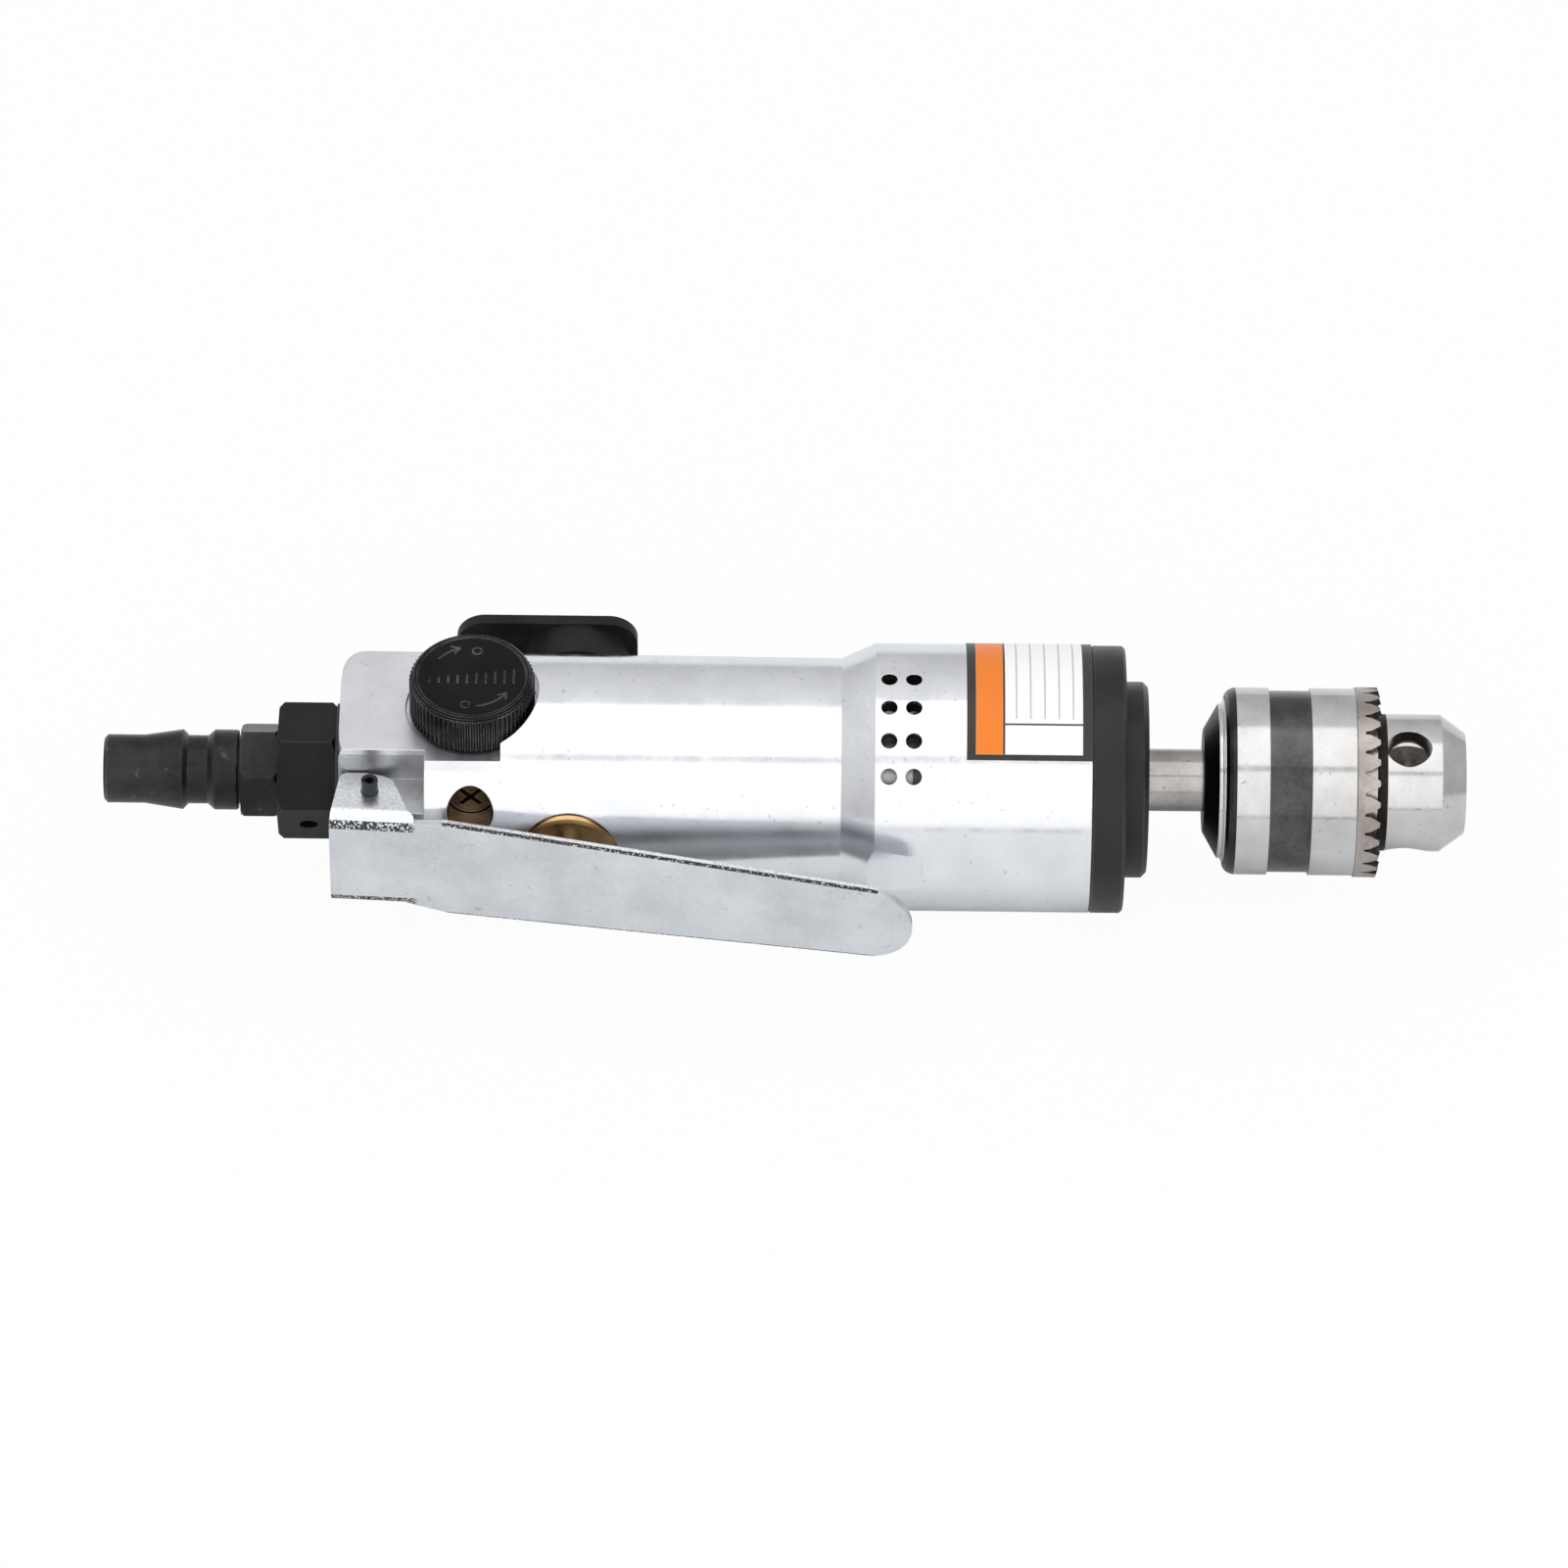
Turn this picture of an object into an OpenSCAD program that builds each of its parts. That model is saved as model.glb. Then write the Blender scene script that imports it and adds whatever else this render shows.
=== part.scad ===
// Straight air drill with a keyed three-jaw chuck.
// +X runs along the spindle to the chuck, +Z along the regulator knob, and the throttle lever is on the -Y side.
// The origin is the centre of the chuck's front face.

/* [Fits] */
// Radial clearance of a shaft that turns or slides in its bore
running_gap = 0.06; // [0.04:0.01:0.1]
// Radial clearance of a piece that is pressed or screwed into its seat
press_gap = 0.01; // [0.01:0.005:0.03]
// Space between pieces that move past each other
free_gap = 0.35; // [0.32:0.01:0.4]

/* [Chuck body] */
// Length of the nose in front of the tooth ring
nose_len = 14.4; // [14:0.1:15.4]
// Radius of the nose
nose_r = 12.3; // [12:0.1:12.6]
// Length of the bevel at the front of the nose
nose_bevel_len = 4.4; // [3.4:0.1:4.8]
// Radius of the front face inside the bevel
nose_face_r = 9.1; // [8.6:0.1:9.8]
// Radius of the bore that takes the drill bit
drill_bore_r = 5.2; // [5:0.05:5.3]
// Depth of the bore that takes the drill bit
drill_bore_len = 27; // [26:0.5:28]
// Radius of the mouth of the drill bore
drill_mouth_r = 5.4; // [5.35:0.05:5.6]
// Depth of the mouth of the drill bore
drill_mouth_len = 3; // [2.5:0.1:3.5]
// Number of holes for the chuck key
key_hole_count = 3;
// Radius of a hole for the chuck key
key_hole_r = 3.7; // [3.5:0.05:3.8]
// Distance of the key holes behind the front face
key_hole_back = 10.4; // [10.2:0.1:10.6]
// Depth of a key hole's straight wall
key_hole_depth = 4.4; // [3.6:0.1:4.6]
// Angle of the first key hole, from +Y towards +Z
key_hole_angle = 103.3; // [90:0.1:120]
// Radius of the body inside the sleeve
body_r = 12.6; // [12.2:0.1:12.9]
// Length of the flange that closes the sleeve's rear
flange_len = 1.6; // [1.4:0.1:1.8]
// Radius of the collar behind the flange
collar_r = 13.9; // [13.6:0.1:14.2]
// Length of the collar behind the flange
collar_len = 0.6; // [0.5:0.1:0.8]
// Length of the cone at the rear of the body
rear_cone_len = 2.6; // [2:0.1:3]
// Radius of the rear face of the body
rear_face_r = 9.3; // [8.6:0.1:10]

/* [Chuck sleeve] */
// Length of the tooth ring with its sloping face
tooth_ring_len = 5.5; // [5.2:0.1:6]
// Length over which the tooth ring's face slopes
tooth_slope_len = 1.4; // [1.2:0.1:1.6]
// Radius of the tooth ring
tooth_ring_r = 17.07; // [16.9:0.01:17.4]
// Number of teeth
tooth_count = 28; // [24:1:30]
// Depth of a tooth gap at the rim
tooth_depth = 2.7; // [2.2:0.1:3]
// Radius of the ground bands
sleeve_r = 16.8; // [16.7:0.05:16.9]
// Depth of the black middle band below the ground bands
band_relief = 0.5; // [0.4:0.05:0.6]
// Wall of the sleeve under the middle band
sleeve_wall = 1.1; // [1:0.05:1.15]
// Length of the front ground band
front_band_len = 8; // [7.5:0.1:8.5]
// Length of the black middle band
middle_band_len = 7.5; // [7:0.1:8]
// Length of the rear ground band
rear_band_len = 5.9; // [5.6:0.1:6.2]
// Length of the rounded rear edge
sleeve_tail_len = 1.9; // [1.7:0.1:2.2]

/* [Chuck jaws] */
// Number of jaws
jaw_count = 3;
// Radius of a jaw
jaw_r = 3.1; // [3:0.05:3.15]
// Slope of the jaws to the spindle
jaw_angle = 14; // [13.8:0.1:14.2]
// Length of a jaw's gripping edge
jaw_grip_len = 14; // [13.6:0.1:14.4]
// Depth of the jaw tips behind the front face when the chuck is open
jaw_recess = 10.7; // [10.4:0.1:11]
// Distance of the gripping edges from the axis when the jaws are closed
jaw_closed_r = 0.5; // [0.4:0.05:0.6]
// Distance that the open jaws stand back from the drill bore
jaw_open_gap = 0.15; // [0.1:0.05:0.2]
// Length of the split nut along the spindle
nut_len = 5.3; // [5:0.1:5.6]
// Pitch of the thread on the jaws
jaw_pitch = 1.5; // [1.25:0.25:1.75]
// Depth of the thread on the jaws
jaw_thread_depth = 0.5; // [0.4:0.05:0.6]

/* [Spindle] */
// Radius of the shaft between the chuck and the cap
shaft_r = 5.6; // [5.4:0.1:5.8]
// Length of shaft that shows between the chuck and the cap
shaft_show = 10.1; // [8:0.1:14]
// Radius of the screwed end inside the chuck
screw_end_r = 4.75; // [4.5:0.05:5]
// Length of the screwed end inside the chuck
screw_end_len = 14; // [13:0.1:14.4]
// Radius of the screw that holds the chuck on
chuck_screw_r = 2.5; // [2.2:0.1:2.7]
// Radius of the chuck screw's head
chuck_screw_head_r = 4.2; // [4:0.1:4.4]
// Height of the chuck screw's head
chuck_screw_head_len = 3; // [2.5:0.1:3.2]
// Radius of the shaft at its bearings
bearing_seat_r = 6; // [5.9:0.05:6.1]
// Radius of the planet carrier
carrier_r = 14.9; // [14.5:0.1:14.9]
// Thickness of the carrier's front wall
carrier_front_len = 2.5; // [2:0.1:2.8]
// Thickness of the carrier's rear wall
carrier_rear_len = 1.6; // [1.4:0.1:1.8]

/* [Gears] */
// Teeth of the sun gear on the rotor shaft
sun_teeth = 12; // [12:6:18]
// Teeth of each planet gear
planet_teeth = 12; // [12:6:18]
// Number of planet gears
planet_count = 3;
// Width of the planet gears
planet_len = 6.4; // [6:0.1:6.6]
// Wall of the ring gear outside its teeth
ring_gear_wall = 3.1; // [2.9:0.05:3.3]
// Play between the flanks of two teeth
backlash = 0.12; // [0.1:0.01:0.2]
// Radius of a planet pin
planet_pin_r = 2; // [1.8:0.1:2.1]

/* [Bearings] */
// Width of a bearing
bearing_len = 5; // [4.8:0.1:5.2]
// Radial height of a spindle bearing
spindle_bearing_h = 4.5; // [4.4:0.1:4.6]
// Radial height of a rotor bearing
rotor_bearing_h = 4; // [3.9:0.1:4.1]
// Radius of a bearing ball
ball_r = 1.2; // [1.1:0.05:1.2]
// Balls in a spindle bearing
spindle_ball_count = 10; // [8:1:12]
// Balls in a rotor bearing
rotor_ball_count = 8; // [7:1:9]
// Play of the balls in their grooves
ball_play = 0.1; // [0.08:0.01:0.12]
// Thickness of the spacer between the spindle bearings
spacer_len = 0.6; // [0.4:0.1:0.8]

/* [Motor] */
// Length of the motor cylinder
cylinder_len = 34; // [32:0.5:36]
// Radius of the motor cylinder
cylinder_r = 17.85; // [17.7:0.05:17.95]
// Radius of the motor cylinder's bore
cylinder_bore_r = 14.8; // [14.6:0.1:14.9]
// Distance of the bore's axis below the rotor's axis
cylinder_offset = 1.4; // [1.3:0.05:1.45]
// Radius of the rotor
rotor_r = 12.7; // [12.4:0.1:12.8]
// Radius of the rotor shaft at its bearings
rotor_shaft_r = 4; // [3.8:0.1:4.2]
// Number of vanes
vane_count = 5; // [4:1:6]
// Thickness of a vane
vane_t = 1.9; // [1.7:0.1:2.1]
// Distance of a vane's inner edge from the axis
vane_in_r = 6.8; // [6.6:0.1:7.2]
// Thickness of the front end plate
front_plate_len = 5.5; // [5.3:0.1:5.8]
// Thickness of the front end plate's wide flange
front_flange_len = 3; // [2.8:0.1:3.1]
// Thickness of the rear end plate
rear_plate_len = 6; // [5.8:0.1:6.2]
// Thickness of the gasket behind the rear end plate
gasket_len = 0.5; // [0.4:0.1:0.8]
// Radius of the dowel through the motor
dowel_r = 1.25; // [1.1:0.05:1.3]
// Height of the dowel above the axis
dowel_z = 15.6; // [15.5:0.05:15.8]
// Radius of an air passage
passage_r = 1.5; // [1.3:0.1:1.6]

/* [Housing] */
// Radius of the wide barrel round the gears
barrel_r = 24; // [23.8:0.1:24.4]
// Length of the wide barrel
barrel_len = 38.8; // [38.4:0.1:39.4]
// Length of the taper behind the barrel
taper_len = 6.1; // [5.5:0.1:7]
// Radius of the grip at its front
grip_front_r = 21.24; // [21.2:0.01:21.4]
// Radius of the grip at its rear
grip_rear_r = 21.6; // [21.5:0.05:21.7]
// Rounding of the housing's rear edge
rear_round_r = 4; // [3.5:0.1:4.5]
// Radius of the bore round the gears
case_bore_r = 20.4; // [20.3:0.05:20.5]
// Depth to which the wide bore reaches from the front of the housing
case_bore_len = 40.6; // [40.2:0.1:41]
// Height of the flat on top of the rear end
top_flat_z = 16.75; // [16.4:0.05:17]
// Length of the flat on top of the rear end
top_flat_len = 28.95; // [28.5:0.05:29.5]
// Depth of the round face under the knob below the flat
spotface_depth = 0.6; // [0.5:0.05:0.8]
// Radius of the round face under the knob
spotface_r = 11.9; // [11.7:0.1:12.1]
// Length of the notches beside the lever
notch_len = 15.45; // [15:0.05:15.8]
// Distance of the notch wall from the spindle axis
notch_wall_y = 10.9; // [10.8:0.05:10.95]
// Radius of the screw thread at the air inlet
inlet_thread_r = 8.3; // [8:0.1:8.5]
// Depth of the screw thread at the air inlet
inlet_thread_len = 14; // [13:0.1:14.5]
// Radius of the air duct inside the rear end
duct_r = 4; // [3.8:0.1:4.2]
// Radius of an exhaust hole
exhaust_hole_r = 1.45; // [1.3:0.05:1.5]
// Distance of the front row of exhaust holes behind the front of the housing
exhaust_back = 32; // [31.8:0.1:32.2]
// Distance between the two columns of exhaust holes
exhaust_pitch = 4.4; // [4.2:0.1:4.6]
// Exhaust holes in a column
exhaust_rows = 4; // [3:1:5]
// Angle between exhaust holes
exhaust_step = 15.46; // [14:0.1:17]
// Angle of the first exhaust hole, from +Y towards +Z
exhaust_angle = 87.6; // [80:0.1:95]

/* [Front cap] */
// Radius of the boss on the cap
cap_boss_r = 17.6; // [17:0.1:18.2]
// Length of the boss on the cap
cap_boss_len = 4.2; // [3.8:0.1:4.8]
// Length of the cap's flange
cap_flange_len = 5.9; // [5.5:0.1:6.5]
// Length of the cap's thread inside the housing
cap_thread_len = 3; // [2.8:0.1:3.2]
// Bevel round the boss
cap_bevel = 0.9; // [0.6:0.1:1.2]
// Radius of the seal in the cap
seal_r = 9; // [8.9:0.1:9.2]
// Thickness of the seal in the cap
seal_len = 4; // [3.5:0.1:4.4]

/* [Air inlet] */
// Distance of the inlet bushing's corners from the axis
inlet_hex_r = 12.3; // [11.8:0.1:12.6]
// Length of the inlet bushing's hexagon
inlet_hex_len = 10.45; // [9.5:0.05:11]
// Angle of a corner of the inlet bushing, from +Y towards +Z
inlet_hex_angle = 49.6; // [30:0.1:60]
// Radius of the tommy bar hole in the inlet bushing
tommy_hole_r = 1.75; // [1.5:0.05:2]
// Thickness of the washer behind the housing
washer_len = 0.8; // [0.6:0.1:1.2]
// Radius of the screw thread of the plug
plug_thread_r = 6.5; // [6.2:0.1:6.8]
// Depth of the screw thread of the plug
plug_thread_len = 8.5; // [8:0.1:9]
// Distance of the plug's corners from the axis
plug_hex_r = 8.85; // [8.5:0.05:9.1]
// Length of the plug's hexagon
plug_hex_len = 6.75; // [6.4:0.05:7]
// Angle of a corner of the plug, from +Y towards +Z
plug_hex_angle = 24; // [0:0.1:60]
// Radius of the plug's two collars
plug_collar_r = 7.2; // [7:0.05:7.4]
// Length of the plug's collar behind its hexagon
plug_collar_len = 4.3; // [4:0.1:4.6]
// Length of the bottom of the plug's locking groove
plug_groove_len = 3.5; // [3.2:0.1:3.8]
// Length of the slope from the rear collar to the nozzle
plug_slope_len = 6.9; // [6.5:0.1:7.3]
// Radius of the plug's nozzle and of its locking groove
plug_nozzle_r = 6.15; // [6:0.05:6.3]
// Radius of the air bore through the plug
plug_bore_r = 3.8; // [3.5:0.1:4.2]
// Length of the plug's straight nozzle
plug_nozzle_len = 7.2; // [6.5:0.1:8]
// Thickness of the screen in the air inlet
screen_len = 1; // [0.8:0.1:1.2]

/* [Regulator] */
// Distance of the regulator behind the front of the housing's top flat
regulator_from_step = 5.3; // [5:0.1:5.6]
// Radius of the knob over its knurl
knob_r = 11.2; // [11:0.05:11.4]
// Radius of the knob's smooth rim
knob_rim_r = 10.74; // [10.6:0.02:10.9]
// Height of the knob
knob_h = 8.1; // [7.5:0.1:8.6]
// Height of the knob's smooth rim
knob_rim_h = 1; // [0.8:0.1:1.4]
// Ribs round the knob
knurl_count = 72; // [60:4:84]
// Depth of the knurl
knurl_depth = 0.4; // [0.25:0.05:0.4]
// Radius of the stem
stem_r = 6; // [5.8:0.05:6.1]
// Depth to which the stem reaches below the axis
stem_down = 12.6; // [12:0.1:13.2]
// Height of the retaining screw above the axis
stem_screw_z = 9.5; // [9.2:0.1:9.8]
// Radius of the counterbore of the retaining screw
stem_screw_hole_r = 4.15; // [4:0.05:4.3]
// Radius of the retaining screw's head
stem_screw_head_r = 3.9; // [3.7:0.05:3.95]

/* [Throttle] */
// Distance of the throttle valve behind the seat of the motor
throttle_gap = 20.7; // [20.4:0.1:21]
// Distance of the regulator behind the throttle valve
valve_pitch = 17.5; // [17.3:0.1:17.8]
// Radius of the brass bush's head
bush_head_r = 9.2; // [9:0.05:9.3]
// Distance of the brass bush's face from the spindle axis
bush_face_y = 20.3; // [20.2:0.05:20.5]
// Thickness of the brass bush's head
bush_head_len = 3.8; // [3.5:0.1:4]
// Radius of the brass bush's body
bush_r = 7.4; // [7.2:0.1:7.6]
// Distance of the brass bush's inner end from the spindle axis
bush_end_y = 7; // [6.9:0.05:7.2]
// Radius of the throttle stem
throttle_stem_r = 2.25; // [2.1:0.05:2.4]
// Radius of the valve disc on the throttle stem
valve_disc_r = 4.6; // [4.4:0.1:4.8]
// Wire thickness of the throttle spring
spring_wire = 0.7; // [0.6:0.05:0.8]
// Curls of the throttle spring
spring_turns = 4; // [3:1:4]

/* [Throttle lever] */
// Thickness of the lever's sheet metal
lever_t = 1.5; // [1.4:0.05:1.6]
// Half of the lever's width at its heel
lever_half_w = 11.2; // [11:0.05:11.4]
// Half of the lever's width at its tip
lever_tip_half_w = 8.25; // [7.5:0.05:9]
// Distance from the rear of the housing to the lever's tip
lever_reach = 102.45; // [98:0.05:106]
// Overhang of the lever's heel behind the housing
lever_heel_over = 1.35; // [1.2:0.05:2]
// Slope of the lever's heel
heel_slope = 3; // [2.6:0.1:3.2]
// Slope of the lever's blade
blade_slope = 9.17; // [9:0.01:9.3]
// Distance from the rear of the housing to the bend in front of the heel
lever_bend_at = 14.9; // [14.6:0.1:15.2]
// Distance from the pivot to the outside of the bend, square to the spindle
lever_bend_drop = 7.75; // [7.6:0.05:7.9]
// Outer radius of the fold between the blade and the ears
fold_r = 2.9; // [2.6:0.1:3.2]
// Angle through which the lever is pressed
press_angle = 7; // [6.5:0.1:7]
// Distance of the lever's pivot in front of the rear of the housing
pivot_at = 5.75; // [5.5:0.05:6]
// Distance of the lever's pivot from the spindle axis
pivot_y = 15.65; // [15.6:0.05:15.7]
// Radius of the roll pin
roll_pin_r = 1.5; // [1.4:0.05:1.55]
// Wall of the roll pin
roll_pin_wall = 0.65; // [0.5:0.05:0.7]
// Width of the slot along the roll pin
roll_pin_slot = 0.5; // [0.4:0.05:0.6]
// Length of roll pin that stands out of the ears
roll_pin_out = 2.7; // [2:0.1:3.2]

/* [Reversing valve] */
// Radius of the reversing spool
spool_r = 6.45; // [6.3:0.05:6.5]
// Wall of the bush round the spool
spool_bush_wall = 1.98; // [1.8:0.02:2]
// Distance of the bush's inner end from the spindle axis
spool_bush_y = 7; // [6.9:0.1:7.2]
// Distance of the face under the reversing lever from the spindle axis
reverse_face_y = 20.3; // [20.2:0.05:20.4]
// Radius of the reversing lever's hub
hub_r = 10.4; // [10:0.1:10.6]
// Distance of the reversing lever's plate from the spindle axis
plate_y = 27.2; // [26.8:0.1:27.6]
// Thickness of the reversing lever's plate
plate_t = 2.2; // [2:0.1:2.4]
// Half of the width of the reversing lever's plate
plate_half_w = 10.7; // [10.4:0.1:11]
// Length of the reversing lever's plate behind its axis
plate_rear_len = 21.7; // [20:0.1:23]
// Length of the reversing lever's plate in front of its axis
plate_front_len = 11; // [10.6:0.1:11.4]
// Corner radius of the reversing lever's plate
plate_corner_r = 5.2; // [4.5:0.1:6]
// Radius of the reversing lever's screw head
plate_screw_r = 4; // [3.6:0.1:4.4]

/* [Label] */
// Length of the label along the barrel
label_len = 22.6; // [20:0.1:23]
// Thickness of the label
label_t = 0.2; // [0.15:0.01:0.25]
// Angle of the label's upper end, from +Y towards +Z
label_angle = 126.5; // [120:0.1:130]
// Angle that the label covers
label_sweep = 143; // [120:1:150]

/* [Hidden] */
$fn = 72;

steel = [0.74, 0.75, 0.76];
bright_steel = [0.82, 0.83, 0.85];
black_steel = [0.16, 0.16, 0.16];
aluminium = [0.85, 0.86, 0.88];
brass = [0.78, 0.6, 0.35];
bronze = [0.48, 0.36, 0.22];
rubber = [0.09, 0.09, 0.09];
cast_iron = [0.4, 0.4, 0.41];
over = 1;

// Small set distances: what lies inside an edge, behind a face or between two faces
flange_inset = 1.1;
case_lip = 1;
carrier_play = 0.5;
planet_play = 0.3;
plate_play = 0.4;
seal_inset = 0.9;
screen_inset = 0.3;
vane_play = 0.6;
reverse_ahead = 0.5;

// Places along the spindle, from the chuck's front face backwards
x_teeth = -nose_len;
x_band_1 = x_teeth - tooth_ring_len;
x_band_2 = x_band_1 - front_band_len;
x_band_3 = x_band_2 - middle_band_len;
x_tail = x_band_3 - rear_band_len;
x_sleeve_end = x_tail - sleeve_tail_len;
x_flange = x_sleeve_end + flange_inset;
x_collar = x_flange - flange_len;
x_cone = x_collar - collar_len;
x_body_end = x_cone - rear_cone_len;
x_cap = x_body_end - shaft_show;
x_cap_step = x_cap - cap_boss_len;
x_seal = x_cap_step - seal_inset;
x_front = x_cap_step - cap_flange_len;
x_case = x_front - cap_thread_len;
x_bearing_1 = x_case - bearing_len;
x_bearing_2 = x_bearing_1 - spacer_len;
x_bearing_3 = x_bearing_2 - bearing_len;
x_ring = x_bearing_3 - case_lip;
x_carrier = x_ring - carrier_play;
x_slot_front = x_carrier - carrier_front_len;
x_slot_rear = x_slot_front - planet_len - 2 * planet_play;
x_carrier_rear = x_slot_rear - carrier_rear_len;
x_plate = x_carrier_rear - plate_play;
x_cylinder = x_plate - front_plate_len;
x_cylinder_end = x_cylinder - cylinder_len;
x_gasket = x_cylinder_end - rear_plate_len;
x_floor = x_gasket - gasket_len;
x_throttle = x_floor - throttle_gap;
x_reverse = x_throttle + reverse_ahead;
x_regulator = x_throttle - valve_pitch;
x_step = x_regulator + regulator_from_step;
x_rear = x_step - top_flat_len;
x_pivot = x_rear + pivot_at;
x_bushing = x_rear - washer_len;
x_bushing_in = x_rear + inlet_thread_len - screen_inset;
x_plug = x_bushing - inlet_hex_len;
x_plug_hex_end = x_plug - plug_hex_len;
x_collar_1 = x_plug_hex_end - 0.5;
x_groove_1 = x_collar_1 - plug_collar_len;
x_groove_2 = x_groove_1 - 1.2;
x_groove_3 = x_groove_2 - plug_groove_len;
x_groove_4 = x_groove_3 - 1;
x_nozzle_cone = x_groove_4 - plug_slope_len;
x_plug_end = x_nozzle_cone - plug_nozzle_len;

// Chuck
key_bevel = 0.45;
key_cone_h = key_hole_r * 0.6;
sleeve_bore_r = sleeve_r - band_relief - sleeve_wall;
sleeve_front_r = nose_r + free_gap;
flange_r = sleeve_bore_r - free_gap;
x_nut = x_teeth - 1.8;
x_nut_end = x_nut - nut_len;
jaw_open_r = drill_bore_r + jaw_open_gap;
jaw_axis_r = jaw_open_r + jaw_r / cos(jaw_angle) - (jaw_recess + jaw_grip_len) * tan(jaw_angle);
jaw_out_r = jaw_r / cos(jaw_angle);
x_jaw_end = x_flange + 0.7;
function jaw_line(x, extra) = jaw_axis_r + jaw_out_r + extra - x * tan(jaw_angle);
nut_groove_r = jaw_line(x_nut, 0);
tooth_pitch = 360 / tooth_count;

// Gears
ring_teeth = sun_teeth + 2 * planet_teeth;
pressure_angle = 25;
tooth_top = 0.95;
tooth_root = 1.2;
ring_gear_r = case_bore_r - press_gap;
gear_module = (ring_gear_r - ring_gear_wall) / (ring_teeth / 2 + tooth_root);
planet_orbit_r = gear_module * (sun_teeth + planet_teeth) / 2;
planet_tip_r = gear_module * (planet_teeth / 2 + tooth_top);
sun_tip_r = gear_module * (sun_teeth / 2 + tooth_top);
sun_root_r = gear_module * (sun_teeth / 2 - tooth_root);
sun_hub_wall = 1.3;
stub_r = sun_root_r - sun_hub_wall;
carrier_hole_r = sun_tip_r + free_gap;

// Bearings
spindle_pitch_r = bearing_seat_r + spindle_bearing_h / 2;
rotor_pitch_r = rotor_shaft_r + rotor_bearing_h / 2;
race_t = 0.65;
cage_t = 0.7;
spindle_bearing_r = bearing_seat_r + spindle_bearing_h;
rotor_bearing_r = rotor_shaft_r + rotor_bearing_h;
x_rotor_front_bearing = x_plate - bearing_len;

// Inlet and valves
screen_r = inlet_thread_r - 2 - press_gap;
screen_hole_r = 0.55;
screen_pitch = 1.7;
spotface_z = top_flat_z - spotface_depth;
knob_z = spotface_z + 0.5;
knob_top_z = knob_z + knob_h;
stem_bore_r = stem_r + running_gap;
stem_neck_r = 4;
screw_shank_r = 2.5;
screw_tip_r = 1.3;
screw_head_y = notch_wall_y + 4.3;
screw_seat_y = screw_head_y - 3;
bush_port_y = bush_end_y + 3.6;
bush_recess_r = bush_head_r + 0.3;
seat_r = 3.2;
disc_y = bush_end_y - 0.05;
disc_t = 2.4;
seal_t = 0.8;
chamber_end_y = 4.2;
spool_bush_r = spool_r + running_gap + spool_bush_wall;
spool_bore_y = spool_bush_y - 1.2;
hub_y = reverse_face_y + free_gap;
reverse_port_y = 12;
reverse_port_z = 4;
link_x = x_throttle + bush_r + passage_r + 1.4;

// Throttle lever, with its outer face as two straight lines that meet at the bend
x_heel = x_rear - lever_heel_over;
x_bend = x_rear + lever_bend_at;
x_tip = x_rear + lever_reach;
bend_y = -(pivot_y + lever_bend_drop);
ear_in = lever_half_w - lever_t;
notch_floor_z = ear_in - free_gap;
ear_top = 4.4;
ear_front = 7.1;
x_ear_end = x_pivot + ear_front + 0.9;
x_blade = x_ear_end - 1.5;
blade_root_half_w = lever_half_w - 1.2;
fold_run_out = 6;
function blade_y(x) = bend_y - (x - x_bend) * tan(blade_slope);
function heel_y(x) = bend_y - (x - x_bend) * tan(heel_slope);
blade_in_y = lever_t / cos(blade_slope);
stem_tip_y = blade_y(x_throttle) + blade_in_y + free_gap;

// A solid turned round the spindle axis, from points of radius and x
module turned(points) {
  rotate([90, 0, 90]) rotate_extrude() polygon(points);
}

// A solid turned round an axis along Y, from points of radius and y
module turned_y(x, points) {
  translate([x, 0, 0]) rotate([-90, 0, 0]) rotate_extrude() polygon(points);
}

// A round bar along the spindle from x0 back to x1
module bar(x0, x1, r) {
  translate([x1, 0, 0]) rotate([0, 90, 0]) cylinder(r = r, h = x0 - x1);
}

// A tube along the spindle
module tube(x0, x1, r_out, r_in) {
  turned([[r_in, x1], [r_out, x1], [r_out, x0], [r_in, x0]]);
}

// A round bar along Y from y0 to y1
module bar_y(x, z, y0, y1, r) {
  translate([x, y0, z]) rotate([-90, 0, 0]) cylinder(r = r, h = y1 - y0);
}

// A round bar along X at any place, from x0 back to x1
module drill_x(x0, x1, y, z, r) {
  translate([x1, y, z]) rotate([0, 90, 0]) cylinder(r = r, h = x0 - x1);
}

// A chamfered hexagonal nut body along the spindle
module hexagon(x0, x1, corner_r, angle, bevel) {
  intersection() {
    translate([x1, 0, 0]) rotate([90, 0, 90]) rotate([0, 0, angle])
      linear_extrude(x0 - x1) circle(r = corner_r, $fn = 6);
    turned([[0, x1], [corner_r - bevel, x1], [corner_r, x1 + bevel], [corner_r, x0 - bevel],
      [corner_r - bevel, x0], [0, x0]]);
  }
}

// Involute of an angle, in degrees, and the half angle of a tooth at a radius
function involute(a) = tan(a) * 180 / PI - a;
function tooth_half(n, r, widen) =
  let(rp = gear_module * n / 2, rb = rp * cos(pressure_angle), rr = max(r, rb * 1.0001))
  90 / n + widen * 180 / PI / (2 * rp) + involute(pressure_angle) - involute(acos(rb / rr));

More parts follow.
